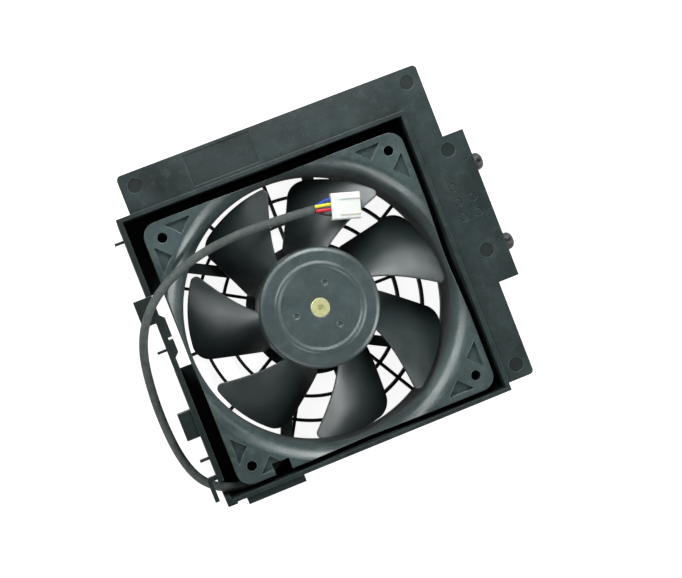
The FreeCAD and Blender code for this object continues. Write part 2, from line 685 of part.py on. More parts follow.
# Latch arm: a sprung arm in the left wall's slot, with a finger tab and two stop noses
def make_latch():
    body = new_body("latch_arm")
    low = "(-slot_low + latch_gap + side_wall / 2)"
    high = "(slot_high - latch_gap)"
    inner = "(-holder_left + side_wall)"
    nose = f"({inner} + latch_nose)"
    first = f"({low} + nose_start)"
    second = f"({first} + nose_long + nose_split)"
    profile = new_sketch(body, "XY_Plane", "holder_deep - latch_deep")
    add_outline(
        profile,
        [
            ("-holder_left", low),
            (inner, low),
            (inner, first),
            (nose, f"{first} + nose_ramp"),
            (nose, f"{first} + nose_long"),
            (inner, f"{first} + nose_long"),
            (inner, second),
            (nose, second),
            (nose, f"{second} + nose_long + nose_ramp / 2"),
            (inner, f"{second} + nose_long + nose_ramp * 1.5"),
            (inner, high),
            ("-holder_left - grip_out", high),
            ("-holder_left - grip_out", f"{high} - grip_long + latch_gap"),
            ("-holder_left", f"{high} - grip_long + latch_gap"),
        ],
    )
    pad(body, profile, "latch_deep")
    root = new_sketch(body, "XY_Plane", "holder_deep - latch_deep")
    add_circle(root, "-holder_left + side_wall / 2", low, "side_wall / 2")
    pad(body, root, "latch_deep")
    fin = new_sketch(body, "XY_Plane", f"{FLANGE_TOP} - fin_deep")
    add_fin(fin, "fin_mid")
    pad(body, fin, "fin_deep")
    return body


# Bumpers: round-nosed soft plugs, necks seated in the tab's bosses
def make_bumpers():
    body = new_body("side_bumpers")
    face = f"({TAB_EDGE} + seat_gap)"
    start = f"({face} + bumper_out - bumper_nose)"
    outline = [(f"{face} - bumper_root", "0"), (f"{face} - bumper_root", "bumper_neck")]
    outline += [(face, "bumper_neck"), (face, "bumper_r")]
    steps = 5
    for step in range(steps + 1):
        angle = math.pi / 2 * step / steps
        along = f"{start} + bumper_nose * {math.sin(angle):.4f}"
        outline.append((along, f"bumper_tip + (bumper_r - bumper_tip) * {math.cos(angle):.4f}"))
    outline.append((f"{start} + bumper_nose", "0"))
    for side in SIDES:
        turn_along_x(
            body, outline, f"(bumper_mid {side} bumper_pitch / 2)", f"{FLANGE_TOP} - bumper_drop"
        )
    return body


# Finger guard: rings and spokes across the outlet, with a band that sits in the back plate's rebate
def make_guard():
    body = new_body("finger_guard")
    band = new_sketch(body, "XY_Plane")
    add_circle(band, "0", "0", "guard_r")
    add_circle(band, "0", "0", "outlet_r")
    pad(body, band, "guard_step")
    spoke = new_sketch(body, "XY_Plane")
    add_rectangle(
        spoke, "guard_disc / 2", "outlet_r - guard_gap", "-guard_rib / 2", "guard_rib / 2"
    )
    foot = new_sketch(body, "XY_Plane")
    add_rectangle(
        foot, "outlet_r - guard_band", "outlet_r + guard_band / 2", "-guard_rib / 2", "guard_rib / 2"
    )
    polar(body, [pad(body, spoke, "guard_thick"), pad(body, foot, "guard_step")], "guard_spokes")
    disc = new_sketch(body, "XY_Plane")
    add_circle(disc, "0", "0", "guard_disc")
    pad(body, disc, "guard_thick")
    for number in range(1, int(value("guard_rings")) + 1):
        middle = f"(guard_disc + guard_pitch * {number})"
        ring = new_sketch(body, "XY_Plane")
        add_circle(ring, "0", "0", f"{middle} + guard_rib / 2")
        add_circle(ring, "0", "0", f"{middle} - guard_rib / 2")
        pad(body, ring, "guard_thick")

    # The band stays clear of the latch slot
    relief = new_sketch(body, "XY_Plane", "guard_thick")
    add_rectangle(relief, "-guard_r - guard_band", "-slot_in", "-slot_low - guard_gap", "slot_high")
    pocket(body, relief)
    body.Tip = body.Group[-1]
    return body


# Fan housing: venturi with a bell mouth, corner flanges, motor base, struts and stem
def make_housing():
    body = new_body("fan_housing")
    side = "fan_size / 2"
    bell = "(throat_r + bell_out)"
    turn(
        body,
        [
            ("throat_r - tube_wall", FAN_BACK),
            ("throat_r + tube_wall", FAN_BACK),
            ("throat_r + tube_wall", f"{FAN_FRONT} - bell_deep - tube_wall"),
            (f"{bell} + tube_wall", f"{FAN_FRONT} - fan_flange / 2"),
            (f"{bell} + tube_wall", FAN_FRONT),
            ("throat_r - tube_wall", FAN_FRONT),
        ],
    )
    for low in (FAN_BACK, f"{FAN_FRONT} - fan_flange"):
        plate = new_sketch(body, "XY_Plane", low)
        add_rectangle(plate, f"-{side}", side, f"-{side}", side)
        add_circle(plate, "0", "0", "throat_r")
        pad(body, plate, "fan_flange")

    # Everything outside the square is trimmed off
    trim = new_sketch(body, "XY_Plane", FAN_FRONT)
    add_rectangle(trim, "-fan_size", "fan_size", "-fan_size", "fan_size")
    add_rectangle(trim, f"-{side}", side, f"-{side}", side)
    trimmed = pocket(body, trim)
    spots = [(f"{x}{side}", f"{y}{side}") for x in ("-", "") for y in ("-", "")]
    fillet(body, trimmed, "fan_corner", upright_at(*spots))

    passage = new_sketch(body, "XZ_Plane")
    add_passage(passage)
    groove = body.newObject("PartDesign::Groove", "passage")
    groove.Profile = passage
    groove.ReferenceAxis = (passage, ["V_Axis"])
    groove.Angle = 360

    # Two three-cornered pockets beside each screw hole, front and back
    edge = "(fan_size / 2 - pocket_edge)"
    near, far = "(hole_out - pocket_back)", "(hole_out - pocket_back - pocket_long)"
    point = f"({near} - pocket_long / 2)"
    for height in (FAN_FRONT, f"{FAN_BACK} + pocket_deep"):
        corner = new_sketch(body, "XY_Plane", height)
        add_outline(corner, [(edge, far), (edge, near), (f"{edge} - pocket_in", point)])
        add_outline(corner, [(far, edge), (near, edge), (point, f"{edge} - pocket_in")])
        polar(body, [pocket(body, corner, "pocket_deep")], "4")

    rear_holes = new_sketch(body, "XY_Plane", FAN_FRONT)
    front_holes = new_sketch(body, "XY_Plane", FAN_FRONT)
    for x, y in HOLE_SPOTS:
        add_circle(rear_holes, x, y, "hole_r")
        add_circle(front_holes, x, y, "front_hole")
    pocket(body, rear_holes)
    pocket(body, front_holes, "fan_deep - fan_flange")

    # Motor base, its struts and the stem that carries bearings and stator
    base = new_sketch(body, "XY_Plane", BASE_LOW)
    add_circle(base, "0", "0", "base_r")
    pad(body, base, "base_thick")
    for direction in ("strut_left", "strut_right", "strut_lead", "strut_top"):
        add_strut(body, direction)
    stem = new_sketch(body, "XY_Plane", BASE_LOW)
    add_circle(stem, "0", "0", "stem_r")
    pad(body, stem, "stem_top - base_lift")
    bore = new_sketch(body, "XY_Plane", f"{FAN_BACK} + stem_top")
    add_circle(bore, "0", "0", "sleeve_r + seat_gap")
    pocket(body, bore)
    rebate = new_sketch(body, "XY_Plane", f"{BASE_LOW} + base_thick / 2")
    add_circle(rebate, "0", "0", "sleeve_r + cap_step")
    pocket(body, rebate, "base_thick / 2")

    # Notch in the front flange where the leads come out
    notch = new_sketch(body, "XY_Plane", FAN_FRONT)
    add_rectangle(
        notch,
        "-lead_notch_x - lead_notch / 2",
        "-lead_notch_x + lead_notch / 2",
        f"-{side} - lead_notch_in",
        f"-{side} + lead_notch_in",
    )
    pocket(body, notch, "lead_notch_deep")
    body.Tip = body.Group[-1]
    return body


def add_strut(body, direction):
    """A strut from the motor base to the venturi, set off from the fan axis."""
    along, across = f"cos({direction})", f"sin({direction})"
    start = "(base_r * 0.7)"
    reach = "sqrt((throat_r + tube_wall * 0.7) ^ 2 - strut_off ^ 2)"
    near, far = "(strut_off - strut_wide / 2)", "(strut_off + strut_wide / 2)"
    corners = [(start, near), (reach, near), (reach, far), (start, far)]
    outline = []
    for out, off in corners:
        outline.append((f"{out} * {along} + {off} * {across}", f"{out} * {across} - {off} * {along}"))
    strut = new_sketch(body, "XY_Plane", BASE_LOW)
    add_outline(strut, outline)
    pad(body, strut, "strut_deep")


def add_passage(sketch):
    """Half section of the air passage: bell mouth in front, straight throat, a short flare at the outlet."""
    mouth = f"({FAN_FRONT} - bell_deep)"
    below, above = f"({FAN_BACK} - tube_wall)", f"({FAN_FRONT} + tube_wall)"
    bell = "(throat_r + bell_out)"
    points = [
        ("0", below),
        ("throat_r + flare_out", below),
        ("throat_r + flare_out", FAN_BACK),
        ("throat_r", f"{FAN_BACK} + flare_deep"),
        ("throat_r", mouth),
        (bell, FAN_FRONT),
        (bell, above),
        ("0", above),
    ]
    corners = [Vector(value(x), value(y), 0) for x, y in points]
    count = len(corners)
    bend = 4
    radius = value("(bell_out ^ 2 + bell_deep ^ 2) / (2 * bell_out)")
    centre = corners[bend] + Vector(radius, 0, 0)
    rim_angle = math.atan2(corners[bend + 1].y - centre.y, corners[bend + 1].x - centre.x)
    for i in range(count):
        if i == bend:
            circle = Part.Circle(centre, Vector(0, 0, 1), radius)
            sketch.addGeometry(Part.ArcOfCircle(circle, rim_angle, math.pi), False)
        else:
            sketch.addGeometry(Part.LineSegment(corners[i], corners[(i + 1) % count]), False)
    starts = [2 if i == bend else 1 for i in range(count)]
    for i, (x, y) in enumerate(points):
        after = (i + 1) % count
        sketch.addConstraint(Sketcher.Constraint("Coincident", i, 3 - starts[i], after, starts[after]))
        pin_point(sketch, i, starts[i], x, y)
    level = sketch.addConstraint(Sketcher.Constraint("DistanceY", -1, 1, bend, 3, value(mouth)))
    sketch.setExpression(f"Constraints[{level}]", bind(mouth))


# Impeller: a cup-shaped hub with forward-swept blades
def blade_edge_angles(radius):
    """Leading and trailing edge angles in degrees at a radius."""
    past_root = radius - value("hub_r")
    lead = value("lead_root") - value("lead_sweep") * past_root + value("lead_curl") * past_root**2
    trail = value("trail_root") - value("trail_sweep") * past_root - value("trail_curl") * past_root**2
    return lead, trail


def blade_section(distance, middle):
    """One blade section on the plane at a distance from the axis, square to the middle direction."""
    steps = 6
    top, drop = value(BLADE_TOP), value("blade_drop")
    thick = value("blade_thick")
    upper, lower = [], []
    spacing = [i / steps for i in range(steps + 1)]
    for share in spacing:
        angle = 0.0
        for _ in range(3):
            radius = distance / math.cos(math.radians(angle))
            lead, trail = blade_edge_angles(radius)
            angle = lead + (trail - lead) * share - middle
        fall = drop * (0.6 * share + 0.4 * share**2)
        half = thick / 2 * (0.4 + 0.6 * math.sin(math.pi * share**0.8))
        across = distance * math.tan(math.radians(angle))
        run = distance * math.radians(trail - lead)
        slope = math.atan2(drop * (0.6 + 0.8 * share), run)
        offset = Vector(0, math.sin(slope), math.cos(slope)) * half
        centre = Vector(distance, across, top - thick / 2 - fall)
        upper.append(centre + offset)
        lower.append(centre - offset)
    over, under = Part.BSplineCurve(), Part.BSplineCurve()
    over.interpolate(Points=upper, Parameters=spacing)
    under.interpolate(Points=lower, Parameters=spacing)
    wire = Part.Wire(
        [
            over.toShape(),
            Part.makeLine(upper[-1], lower[-1]),
            under.toShape().reversed(),
            Part.makeLine(lower[0], upper[0]),
        ]
    )
    wire.rotate(Vector(), Vector(0, 0, 1), middle)
    return wire


def make_blade():
    """One blade: a loft through sections, trimmed to the tip circle with two round tip corners."""
    root, tip = value("hub_r - hub_wall / 2"), value("throat_r - tip_gap")
    lead, trail = blade_edge_angles((root + tip) / 2)
    middle = (lead + trail) / 2
    stations = 5
    first = root - value("hub_wall") * 2
    last = tip + value("tip_gap") / 3
    planes = [first + (last - first) * i / (stations - 1) for i in range(stations)]
    loft = Part.makeLoft([blade_section(p, middle) for p in planes], True, False)

    # The trimming prism follows the leading edge near the tip only
    drop = value("blade_drop")
    low = value(BLADE_TOP) - 1.5 * drop
    shoulder = tip - 3 * value("nose_round")
    lead_tip, trail_tip = blade_edge_angles(tip)
    lead_shoulder = blade_edge_angles(shoulder)[0]
    lead_root, trail_root = blade_edge_angles(root)
    spread = 6

    def at(radius, angle):
        return Vector(radius * math.cos(math.radians(angle)), radius * math.sin(math.radians(angle)), low)

    nose, tail = at(tip, lead_tip), at(tip, trail_tip)
    inner_start, inner_end = lead_root - spread, trail_root + spread
    outline = Part.Wire(
        [
            Part.Arc(nose, at(tip, (lead_tip + trail_tip) / 2), tail).toShape(),
            Part.makeLine(tail, at(root, inner_end)),
            Part.Arc(
                at(root, inner_end), at(root, (inner_end + inner_start) / 2), at(root, inner_start)
            ).toShape(),
            Part.makeLine(at(root, inner_start), at(shoulder, lead_shoulder)),
            Part.makeLine(at(shoulder, lead_shoulder), nose),
        ]
    )
    trim = Part.Face(outline).extrude(Vector(0, 0, 2 * drop))
    for corner, radius in ((nose, "nose_round"), (tail, "blade_round")):
        at_corner = upright_at((corner.x, corner.y))
        trim = trim.makeFillet(value(radius), [e for e in trim.Edges if at_corner(e)])
    return loft.common(trim).Solids[0]


def make_impeller():
    hub = new_body("impeller_hub")
    inner = "(hub_r - hub_wall)"
    turn(
        hub,
        [
            ("bush_r + seat_gap", f"{HUB_TOP} - hub_face"),
            (inner, f"{HUB_TOP} - hub_face"),
            (inner, f"{HUB_TOP} - hub_long"),
            ("hub_r", f"{HUB_TOP} - hub_long"),
            ("hub_r", f"{HUB_TOP} - hub_round"),
            ("hub_r - hub_round * 0.3", f"{HUB_TOP} - hub_round * 0.3"),
            ("hub_r - hub_round", HUB_TOP),
            ("ridge_r + ridge_wide / 2", HUB_TOP),
            ("ridge_r + ridge_wide / 6", f"{HUB_TOP} + ridge_high"),
            ("ridge_r - ridge_wide / 6", f"{HUB_TOP} + ridge_high"),
            ("ridge_r - ridge_wide / 2", f"{HUB_TOP} - hub_dish"),
            ("bush_r + seat_gap", f"{HUB_TOP} - hub_dish"),
        ],
    )
    dimple = new_sketch(hub, "XY_Plane", f"{HUB_TOP} - hub_dish")
    add_circle(dimple, "dimple_out * cos(dimple_turn)", "dimple_out * sin(dimple_turn)", "dimple_r")
    polar(hub, [pocket(hub, dimple, "dimple_deep")], "dimples")
    doc.recompute()
    blade = make_blade()
    count = int(value("blades"))
    shape = hub.Shape
    for number in range(count):
        copy = blade.copy()
        copy.rotate(Vector(), Vector(0, 0, 1), 360 * number / count)
        shape = shape.fuse(copy)
    return solid_piece("impeller", Part.Solid(shape.removeSplitter().Solids[0]))


# Rotor pieces inside the hub: yoke, magnet, bush, shaft, spring and clip
def make_rotor_core():
    yoke = "(hub_r - hub_wall - seat_gap)"
    roof = f"({HUB_TOP} - hub_face - seat_gap)"
    skirt = f"({HUB_TOP} - hub_long + yoke_lift)"
    magnet_low = f"({skirt} + magnet_lift)"
    groove = f"({REAR_RACE} - groove_back)"
    core = "(shaft_r - groove_deep)"
    pieces = [
        turned(
            "rotor_yoke",
            [
                ("bush_r + seat_gap", f"{roof} - yoke_thick"),
                (f"{yoke} - yoke_thick", f"{roof} - yoke_thick"),
                (f"{yoke} - yoke_thick", skirt),
                (yoke, skirt),
                (yoke, roof),
                ("bush_r + seat_gap", roof),
            ],
        ),
        turned(
            "magnet_ring",
            [
                ("magnet_r - magnet_thick", magnet_low),
                ("magnet_r", magnet_low),
                ("magnet_r", f"{magnet_low} + magnet_long"),
                ("magnet_r - magnet_thick", f"{magnet_low} + magnet_long"),
            ],
        ),
        turned(
            "shaft_bush",
            [
                ("shaft_r + seat_gap", f"{HUB_TOP} - bush_long"),
                ("bush_r", f"{HUB_TOP} - bush_long"),
                ("bush_r", f"{HUB_TOP} - edge_cut"),
                ("bush_r - edge_cut", HUB_TOP),
                ("shaft_r + seat_gap", HUB_TOP),
            ],
        ),
        turned(
            "rotor_shaft",
            [
                ("0", f"{REAR_RACE} - shaft_tail"),
                ("shaft_r", f"{REAR_RACE} - shaft_tail"),
                ("shaft_r", groove),
                (core, groove),
                (core, f"{groove} + groove_wide"),
                ("shaft_r", f"{groove} + groove_wide"),
                ("shaft_r", f"{HUB_TOP} - shaft_sink - edge_cut"),
                ("shaft_r - edge_cut", f"{HUB_TOP} - shaft_sink"),
                ("0", f"{HUB_TOP} - shaft_sink"),
            ],
        ),
    ]
    return pieces + [make_clip(groove, core), make_spring()]


def make_clip(groove, core):
    """Open ring in the shaft's groove behind the rear bearing."""
    low = f"({groove} + (groove_wide - clip_thick) / 2)"
    body = turned(
        "retaining_clip",
        [
            (f"{core} + seat_gap", low),
            ("shaft_r + clip_out", low),
            ("shaft_r + clip_out", f"{low} + clip_thick"),
            (f"{core} + seat_gap", f"{low} + clip_thick"),
        ],
    )
    mouth = new_sketch(body, "XY_Plane", f"{low} + clip_thick")
    add_rectangle(mouth, "0", "shaft_r + 2 * clip_out", "-clip_mouth / 2", "clip_mouth / 2")
    pocket(body, mouth)
    return body


def make_spring():
    """Disc spring that preloads the front bearing's inner ring against the hub bush."""
    low, high = f"({FRONT_RACE} + race_wide + seat_gap)", f"({HUB_TOP} - bush_long - seat_gap)"
    return turned(
        "preload_spring",
        [
            ("shaft_r + seat_gap", f"{high} - spring_thick"),
            ("shaft_r + spring_flat", f"{high} - spring_thick"),
            ("race_split - race_gap", low),
            ("race_split - race_gap", f"{low} + spring_thick"),
            ("shaft_r + spring_flat", high),
            ("shaft_r + seat_gap", high),
        ],
    )


# Shielded ball bearings: inner ring on the shaft, outer ring in the tube
def make_bearing(name, low):
    split = "race_split"
    inside = turned(
        name + "_bearing_inner",
        [
            ("shaft_r + seat_gap", low),
            (f"{split} - race_gap", low),
            (f"{split} - race_gap", f"{low} + race_wide"),
            ("shaft_r + seat_gap", f"{low} + race_wide"),
        ],
    )
    outside = turned(
        name + "_bearing_outer",
        [
            (split, f"{low} + shield_sink"),
            ("race_r - shield_wall", f"{low} + shield_sink"),
            ("race_r - shield_wall", low),
            ("race_r", low),
            ("race_r", f"{low} + race_wide"),
            ("race_r - shield_wall", f"{low} + race_wide"),
            ("race_r - shield_wall", f"{low} + race_wide - shield_sink"),
            (split, f"{low} + race_wide - shield_sink"),
        ],
    )
    return [inside, outside]


def make_bearing_tube():
    """Brass tube in the stem, with a shoulder between the two bearing seats."""
    bore, shoulder = "(race_r + seat_gap)", "(race_r - race_stop)"
    return turned(
        "bearing_tube",
        [
            (bore, f"{REAR_RACE} - sleeve_tail"),
            ("sleeve_r", f"{REAR_RACE} - sleeve_tail"),
            ("sleeve_r", f"{FRONT_RACE} + race_wide"),
            (bore, f"{FRONT_RACE} + race_wide"),
            (bore, f"{FRONT_RACE} - seat_gap"),
            (shoulder, f"{FRONT_RACE} - seat_gap"),
            (shoulder, f"{REAR_RACE} + race_wide + seat_gap"),
            (bore, f"{REAR_RACE} + race_wide + seat_gap"),
        ],
    )


def make_rear_cap():
    """Plug that closes the bearing tube at the back of the motor base."""
    return turned(
        "rear_cap",
        [
            ("0", BASE_LOW),
            ("sleeve_r + cap_step - seat_gap", BASE_LOW),
            ("sleeve_r + cap_step - seat_gap", f"{BASE_LOW} + base_thick / 2 - seat_gap"),
            ("0", f"{BASE_LOW} + base_thick / 2 - seat_gap"),
        ],
    )


# Stator: laminated core, insulator caps, windings, circuit board and its parts
def add_poles(body, low, high, outside):
    """Core ring, pole necks and curved shoes between two heights."""
    ring = new_sketch(body, "XY_Plane", low)
    add_circle(ring, "0", "0", "stem_r + seat_gap + core_ring")
    add_circle(ring, "0", "0", "stem_r + seat_gap")
    pad(body, ring, f"{high} - {low}")
    neck = new_sketch(body, "XY_Plane", low)
    add_rectangle(
        neck, "stem_r + core_ring / 2", f"{outside} - pole_tip / 2", "-pole_wide / 2", "pole_wide / 2"
    )
    shoe = [
        (f"{outside} - pole_tip", low),
        (outside, low),
        (outside, high),
        (f"{outside} - pole_tip", high),
    ]
    polar(body, [pad(body, neck, f"{high} - {low}"), turn(body, shoe, "shoe_turn")], "poles")


def make_stator():
    core = new_body("stator_core")
    add_poles(core, STACK_LOW, STACK_TOP, "stator_r")
    insulator = new_body("stator_insulator")
    for low in (f"({STACK_LOW} - seat_gap - cap_thick)", f"({STACK_TOP} + seat_gap)"):
        add_poles(insulator, low, f"({low} + cap_thick)", "(stator_r - cap_inset)")
    return [core, insulator, make_coils()] + make_board()


def make_coils():
    """A winding with chamfered corners round each pole neck."""
    body = new_body("coil_windings")
    start = "(stem_r + seat_gap + core_ring + coil_gap)"
    side = "(pole_wide / 2 + coil_thick)"
    stop = f"(sqrt((stator_r - pole_tip - cap_inset - coil_gap) ^ 2 - {side} ^ 2))"
    cut = "coil_thick / 2"
    high = f"({STACK_TOP} + cap_thick + 2 * seat_gap + coil_thick)"
    coil = new_sketch(body, "YZ_Plane", start)
    add_chamfered(coil, side, "coil_low", high, cut)
    add_rectangle(
        coil,
        "-pole_wide / 2 - seat_gap",
        "pole_wide / 2 + seat_gap",
        "coil_low + coil_thick",
        f"{high} - coil_thick",
    )
    polar(body, [pad(body, coil, f"{stop} - {start}")], "poles")
    return body


def add_chamfered(sketch, half, low, high, cut):
    """A rectangle about the vertical axis with its corners cut off."""
    right = [(f"{half} - {cut}", low), (half, f"{low} + {cut}")]
    right += [(half, f"{high} - {cut}"), (f"{half} - {cut}", high)]
    left = [(f"-({x})", y) for x, y in reversed(right)]
    add_outline(sketch, right + left)


# Parts below the board: length, width, height, distance from the axis, angle in degrees
BOARD_PARTS = [
    (6.0, 5.0, 1.5, 15.0, 20),
    (3.0, 4.0, 1.3, 18.5, 85),
    (4.0, 3.0, 1.6, 15.0, 150),
    (3.2, 1.6, 1.2, 17.0, 260),
]


def make_board():
    """Ring-shaped board on the stem below the windings, with its driver parts on the underside."""
    board = turned(
        "circuit_board",
        [
            ("stem_r + seat_gap", "board_low"),
            ("board_r", "board_low"),
            ("board_r", "board_low + board_thick"),
            ("stem_r + seat_gap", "board_low + board_thick"),
        ],
    )
    body = new_body("board_parts")
    for long, wide, high, out, angle in BOARD_PARTS:
        across, up = math.cos(math.radians(angle)), math.sin(math.radians(angle))
        chip = new_sketch(body, "XY_Plane", f"board_low - seat_gap - {high}")
        corners = [(-1, -1), (1, -1), (1, 1), (-1, 1)]
        ends = [(out + long / 2 * a, wide / 2 * b) for a, b in corners]
        add_outline(chip, [(f"{r * across - s * up:.3f}", f"{r * up + s * across:.3f}") for r, s in ends])
        pad(body, chip, f"{high}")
    return [board, body]


# Self-tapping screws from the back into the fan's rear flange
def make_screws():
    body = new_body("fan_screws")
    heads = new_sketch(body, "XY_Plane")
    shanks = new_sketch(body, "XY_Plane", "screw_high")
    crosses = new_sketch(body, "XY_Plane", "cross_deep")
    for x, y in HOLE_SPOTS:
        add_circle(heads, x, y, "screw_head")
        add_circle(shanks, x, y, "screw_r")
        add_plus(crosses, x, y, "cross_wide", "cross_long")
    pad(body, heads, "screw_high")
    pad(body, shanks, "screw_long")
    pocket(body, crosses, "cross_deep")
    body.Tip = body.Group[-1]
    return body


# Cable: a sleeved lead from the fan's corner, out over the holder's side and back across the inlet
PLUG_MIDDLE = (26.1, 37.0)
PLUG_TURN = -16.7
CABLE_ROUTE = [
    (-37.8, -54.2, 33.4),
    (-43.8, -57.6, 33.4),
    (-52.6, -60.2, 33.6),
    (-62.0, -59.0, 34.6),
    (-70.0, -55.8, 35.2),
    (-76.6, -48.6, 32.6),
    (-80.2, -36.0, 29.4),
    (-81.2, -18.0, 29.2),
    (-80.0, -1.0, 34.6),
    (-77.6, 11.0, 44.0),
    (-72.6, 21.4, 48.8),
    (-63.4, 30.8, 48.6),
    (-49.0, 38.0, 45.2),
    (-31.0, 41.8, 41.4),
    (-9.0, 42.4, 40.6),
    (13.0, 40.4, 41.0),
]


def rounded_path(points):
    """Straight runs joined by tangent arcs, each as large as its two runs allow. Also gives the radii."""
    edges, radii = [], []
    start = points[0]
    for before, here, after in zip(points, points[1:], points[2:]):
        towards, away = (before - here), (after - here)
        turn_by = math.pi - towards.getAngle(away)
        cut = 0.45 * min(towards.Length, away.Length)
        radius = cut / math.tan(turn_by / 2)
        towards.normalize()
        away.normalize()
        enter, leave = here + towards * cut, here + away * cut
        bisector = (towards + away).normalize()
        centre = here + bisector * (radius / math.cos(turn_by / 2))
        edges.append(Part.LineSegment(start, enter).toShape())
        edges.append(Part.Arc(enter, centre - bisector * radius, leave).toShape())
        start = leave
        radii.append(radius)
    edges.append(Part.LineSegment(start, points[-1]).toShape())
    return Part.Wire(edges), radii


def make_wire(label, points, thick):
    """A round wire of one thickness along a rounded path, with its volume checked and its radii printed."""
    path, radii = rounded_path(points)
    radius = value(thick) / 2
    section = Part.Wire([Part.makeCircle(radius, points[0], points[1] - points[0])])
    tube = path.makePipeShell([section], True, False)
    expected = math.pi * radius**2 * path.Length
    if abs(tube.Volume / expected - 1) > 0.01:
        raise RuntimeError(f"{label} has volume {tube.Volume:.1f} instead of {expected:.1f}")
    print(f"{label}: length {path.Length:.1f} mm, bend radii", " ".join(f"{r:.1f}" for r in radii))
    return solid_piece(label, tube)


def plug_point(along, across, up):
    """A point of the plug, whose leads enter at along = 0, in the part's frame."""
    turn_by = math.radians(PLUG_TURN)
    shift = along - value("plug_long") / 2
    x = PLUG_MIDDLE[0] + shift * math.cos(turn_by) - across * math.sin(turn_by)
    y = PLUG_MIDDLE[1] + shift * math.sin(turn_by) + across * math.cos(turn_by)
    return Vector(x, y, value(f"{BLADE_TOP} + plug_gap") + up)


# Plug, drawn along +X from its lead face and then set into its place
LEAD_COLOURS = ("black", "red", "yellow", "blue")


def plug_body(name):
    body = new_body(name)
    body.Placement = Placement(plug_point(0, 0, 0), Rotation(Vector(0, 0, 1), PLUG_TURN))
    return body


def add_cells(sketch, inset):
    """One rectangle for each lead's cell, smaller by an inset all round."""
    wide, high = f"(cell_wide / 2 - {inset})", f"(cell_high / 2 - {inset})"
    for number in range(len(LEAD_COLOURS)):
        middle = f"plug_pitch * {number - (len(LEAD_COLOURS) - 1) / 2}"
        add_rectangle(
            sketch,
            f"{middle} - {wide}",
            f"{middle} + {wide}",
            f"plug_high / 2 - {high}",
            f"plug_high / 2 + {high}",
        )


def make_plug():
    housing = plug_body("plug_housing")
    shell = new_sketch(housing, "YZ_Plane")
    add_chamfered(shell, "plug_wide / 2", "0", "plug_high", "plug_cut")
    pad(housing, shell, "plug_long")
    keys = new_sketch(housing, "YZ_Plane", "key_start")
    for side in SIDES:
        middle = f"0 {side} key_out"
        add_rectangle(
            keys,
            f"{middle} - key_wide / 2",
            f"{middle} + key_wide / 2",
            "plug_high - plug_cut",
            "plug_high + key_high",
        )
    pad(housing, keys, "plug_long - key_start")
    cells = new_sketch(housing, "YZ_Plane", "plug_long")
    add_cells(cells, "0")
    pocket(housing, cells)

    contacts = plug_body("plug_contacts")
    outside = new_sketch(contacts, "YZ_Plane", "wire_in + contact_gap")
    add_cells(outside, "contact_gap")
    pad(contacts, outside, "plug_long - contact_front - wire_in - contact_gap")
    bore = new_sketch(contacts, "YZ_Plane", "plug_long - contact_front")
    add_cells(bore, "(contact_gap + contact_wall)")
    pocket(contacts, bore, "plug_long / 2")
    return [housing, contacts]


def make_leads():
    """Coloured leads from the sleeve's mouth to their contacts, fanned out of a square bundle."""
    end = Vector(*CABLE_ROUTE[-1])
    heading = (end - Vector(*CABLE_ROUTE[-2])).normalize()
    side = heading.cross(Vector(0, 0, 1))
    half = value("wire_d / 2 + wire_gap")
    middle = value("plug_high / 2")
    leads = []
    for number, colour in enumerate(LEAD_COLOURS):
        spread = half if number < 2 else -half
        lift = half if number in (1, 2) else -half
        mouth = end + heading * value("wire_start") + side * spread + Vector(0, 0, lift)
        across = value("plug_pitch") * (number - (len(LEAD_COLOURS) - 1) / 2)
        entry = plug_point(-value("wire_bend"), across, middle)
        target = plug_point(value("wire_in"), across, middle)
        leads.append(make_wire(f"lead_{colour}", [mouth, entry, target], "wire_d"))
    return leads


def build():
    pieces = [make_holder(), make_latch(), make_bumpers(), make_guard(), make_housing()]
    pieces.append(make_impeller())
    pieces += make_rotor_core()
    pieces += make_bearing("front", FRONT_RACE) + make_bearing("rear", REAR_RACE)
    pieces += [make_bearing_tube(), make_rear_cap()]
    pieces += make_stator()
    pieces.append(make_screws())
    pieces.append(make_wire("cable_sleeve", [Vector(*p) for p in CABLE_ROUTE], "cable_d"))
    return pieces + make_plug() + make_leads()


def export(pieces):
    doc.recompute()
    failed = [o.Label for o in doc.Objects if {"Invalid", "Error"} & set(o.State)]
    if failed:
        raise RuntimeError(f"failed features: {failed}")
    os.makedirs("parts", exist_ok=True)
    for piece in pieces:
        shape = piece.Shape
        if shape.isNull() or not shape.isValid() or not shape.Solids:
            raise RuntimeError(f"{piece.Label} has no valid solid")
        shape.exportStep(f"parts/{piece.Label}.step")
        print(f"{piece.Label}: {len(shape.Solids)} solids, {shape.Volume:.1f} mm3")


export(build())
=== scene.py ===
"""Drive cage fan assembly on a pale floor, seen as in the photograph.

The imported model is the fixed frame: metres, +Z along the fan axis towards the inlet.
The part lies on its back, with its rear face at Z = 0 and the floor just below that.
"""

import bmesh
import bpy
import math
from mathutils import Matrix, Vector


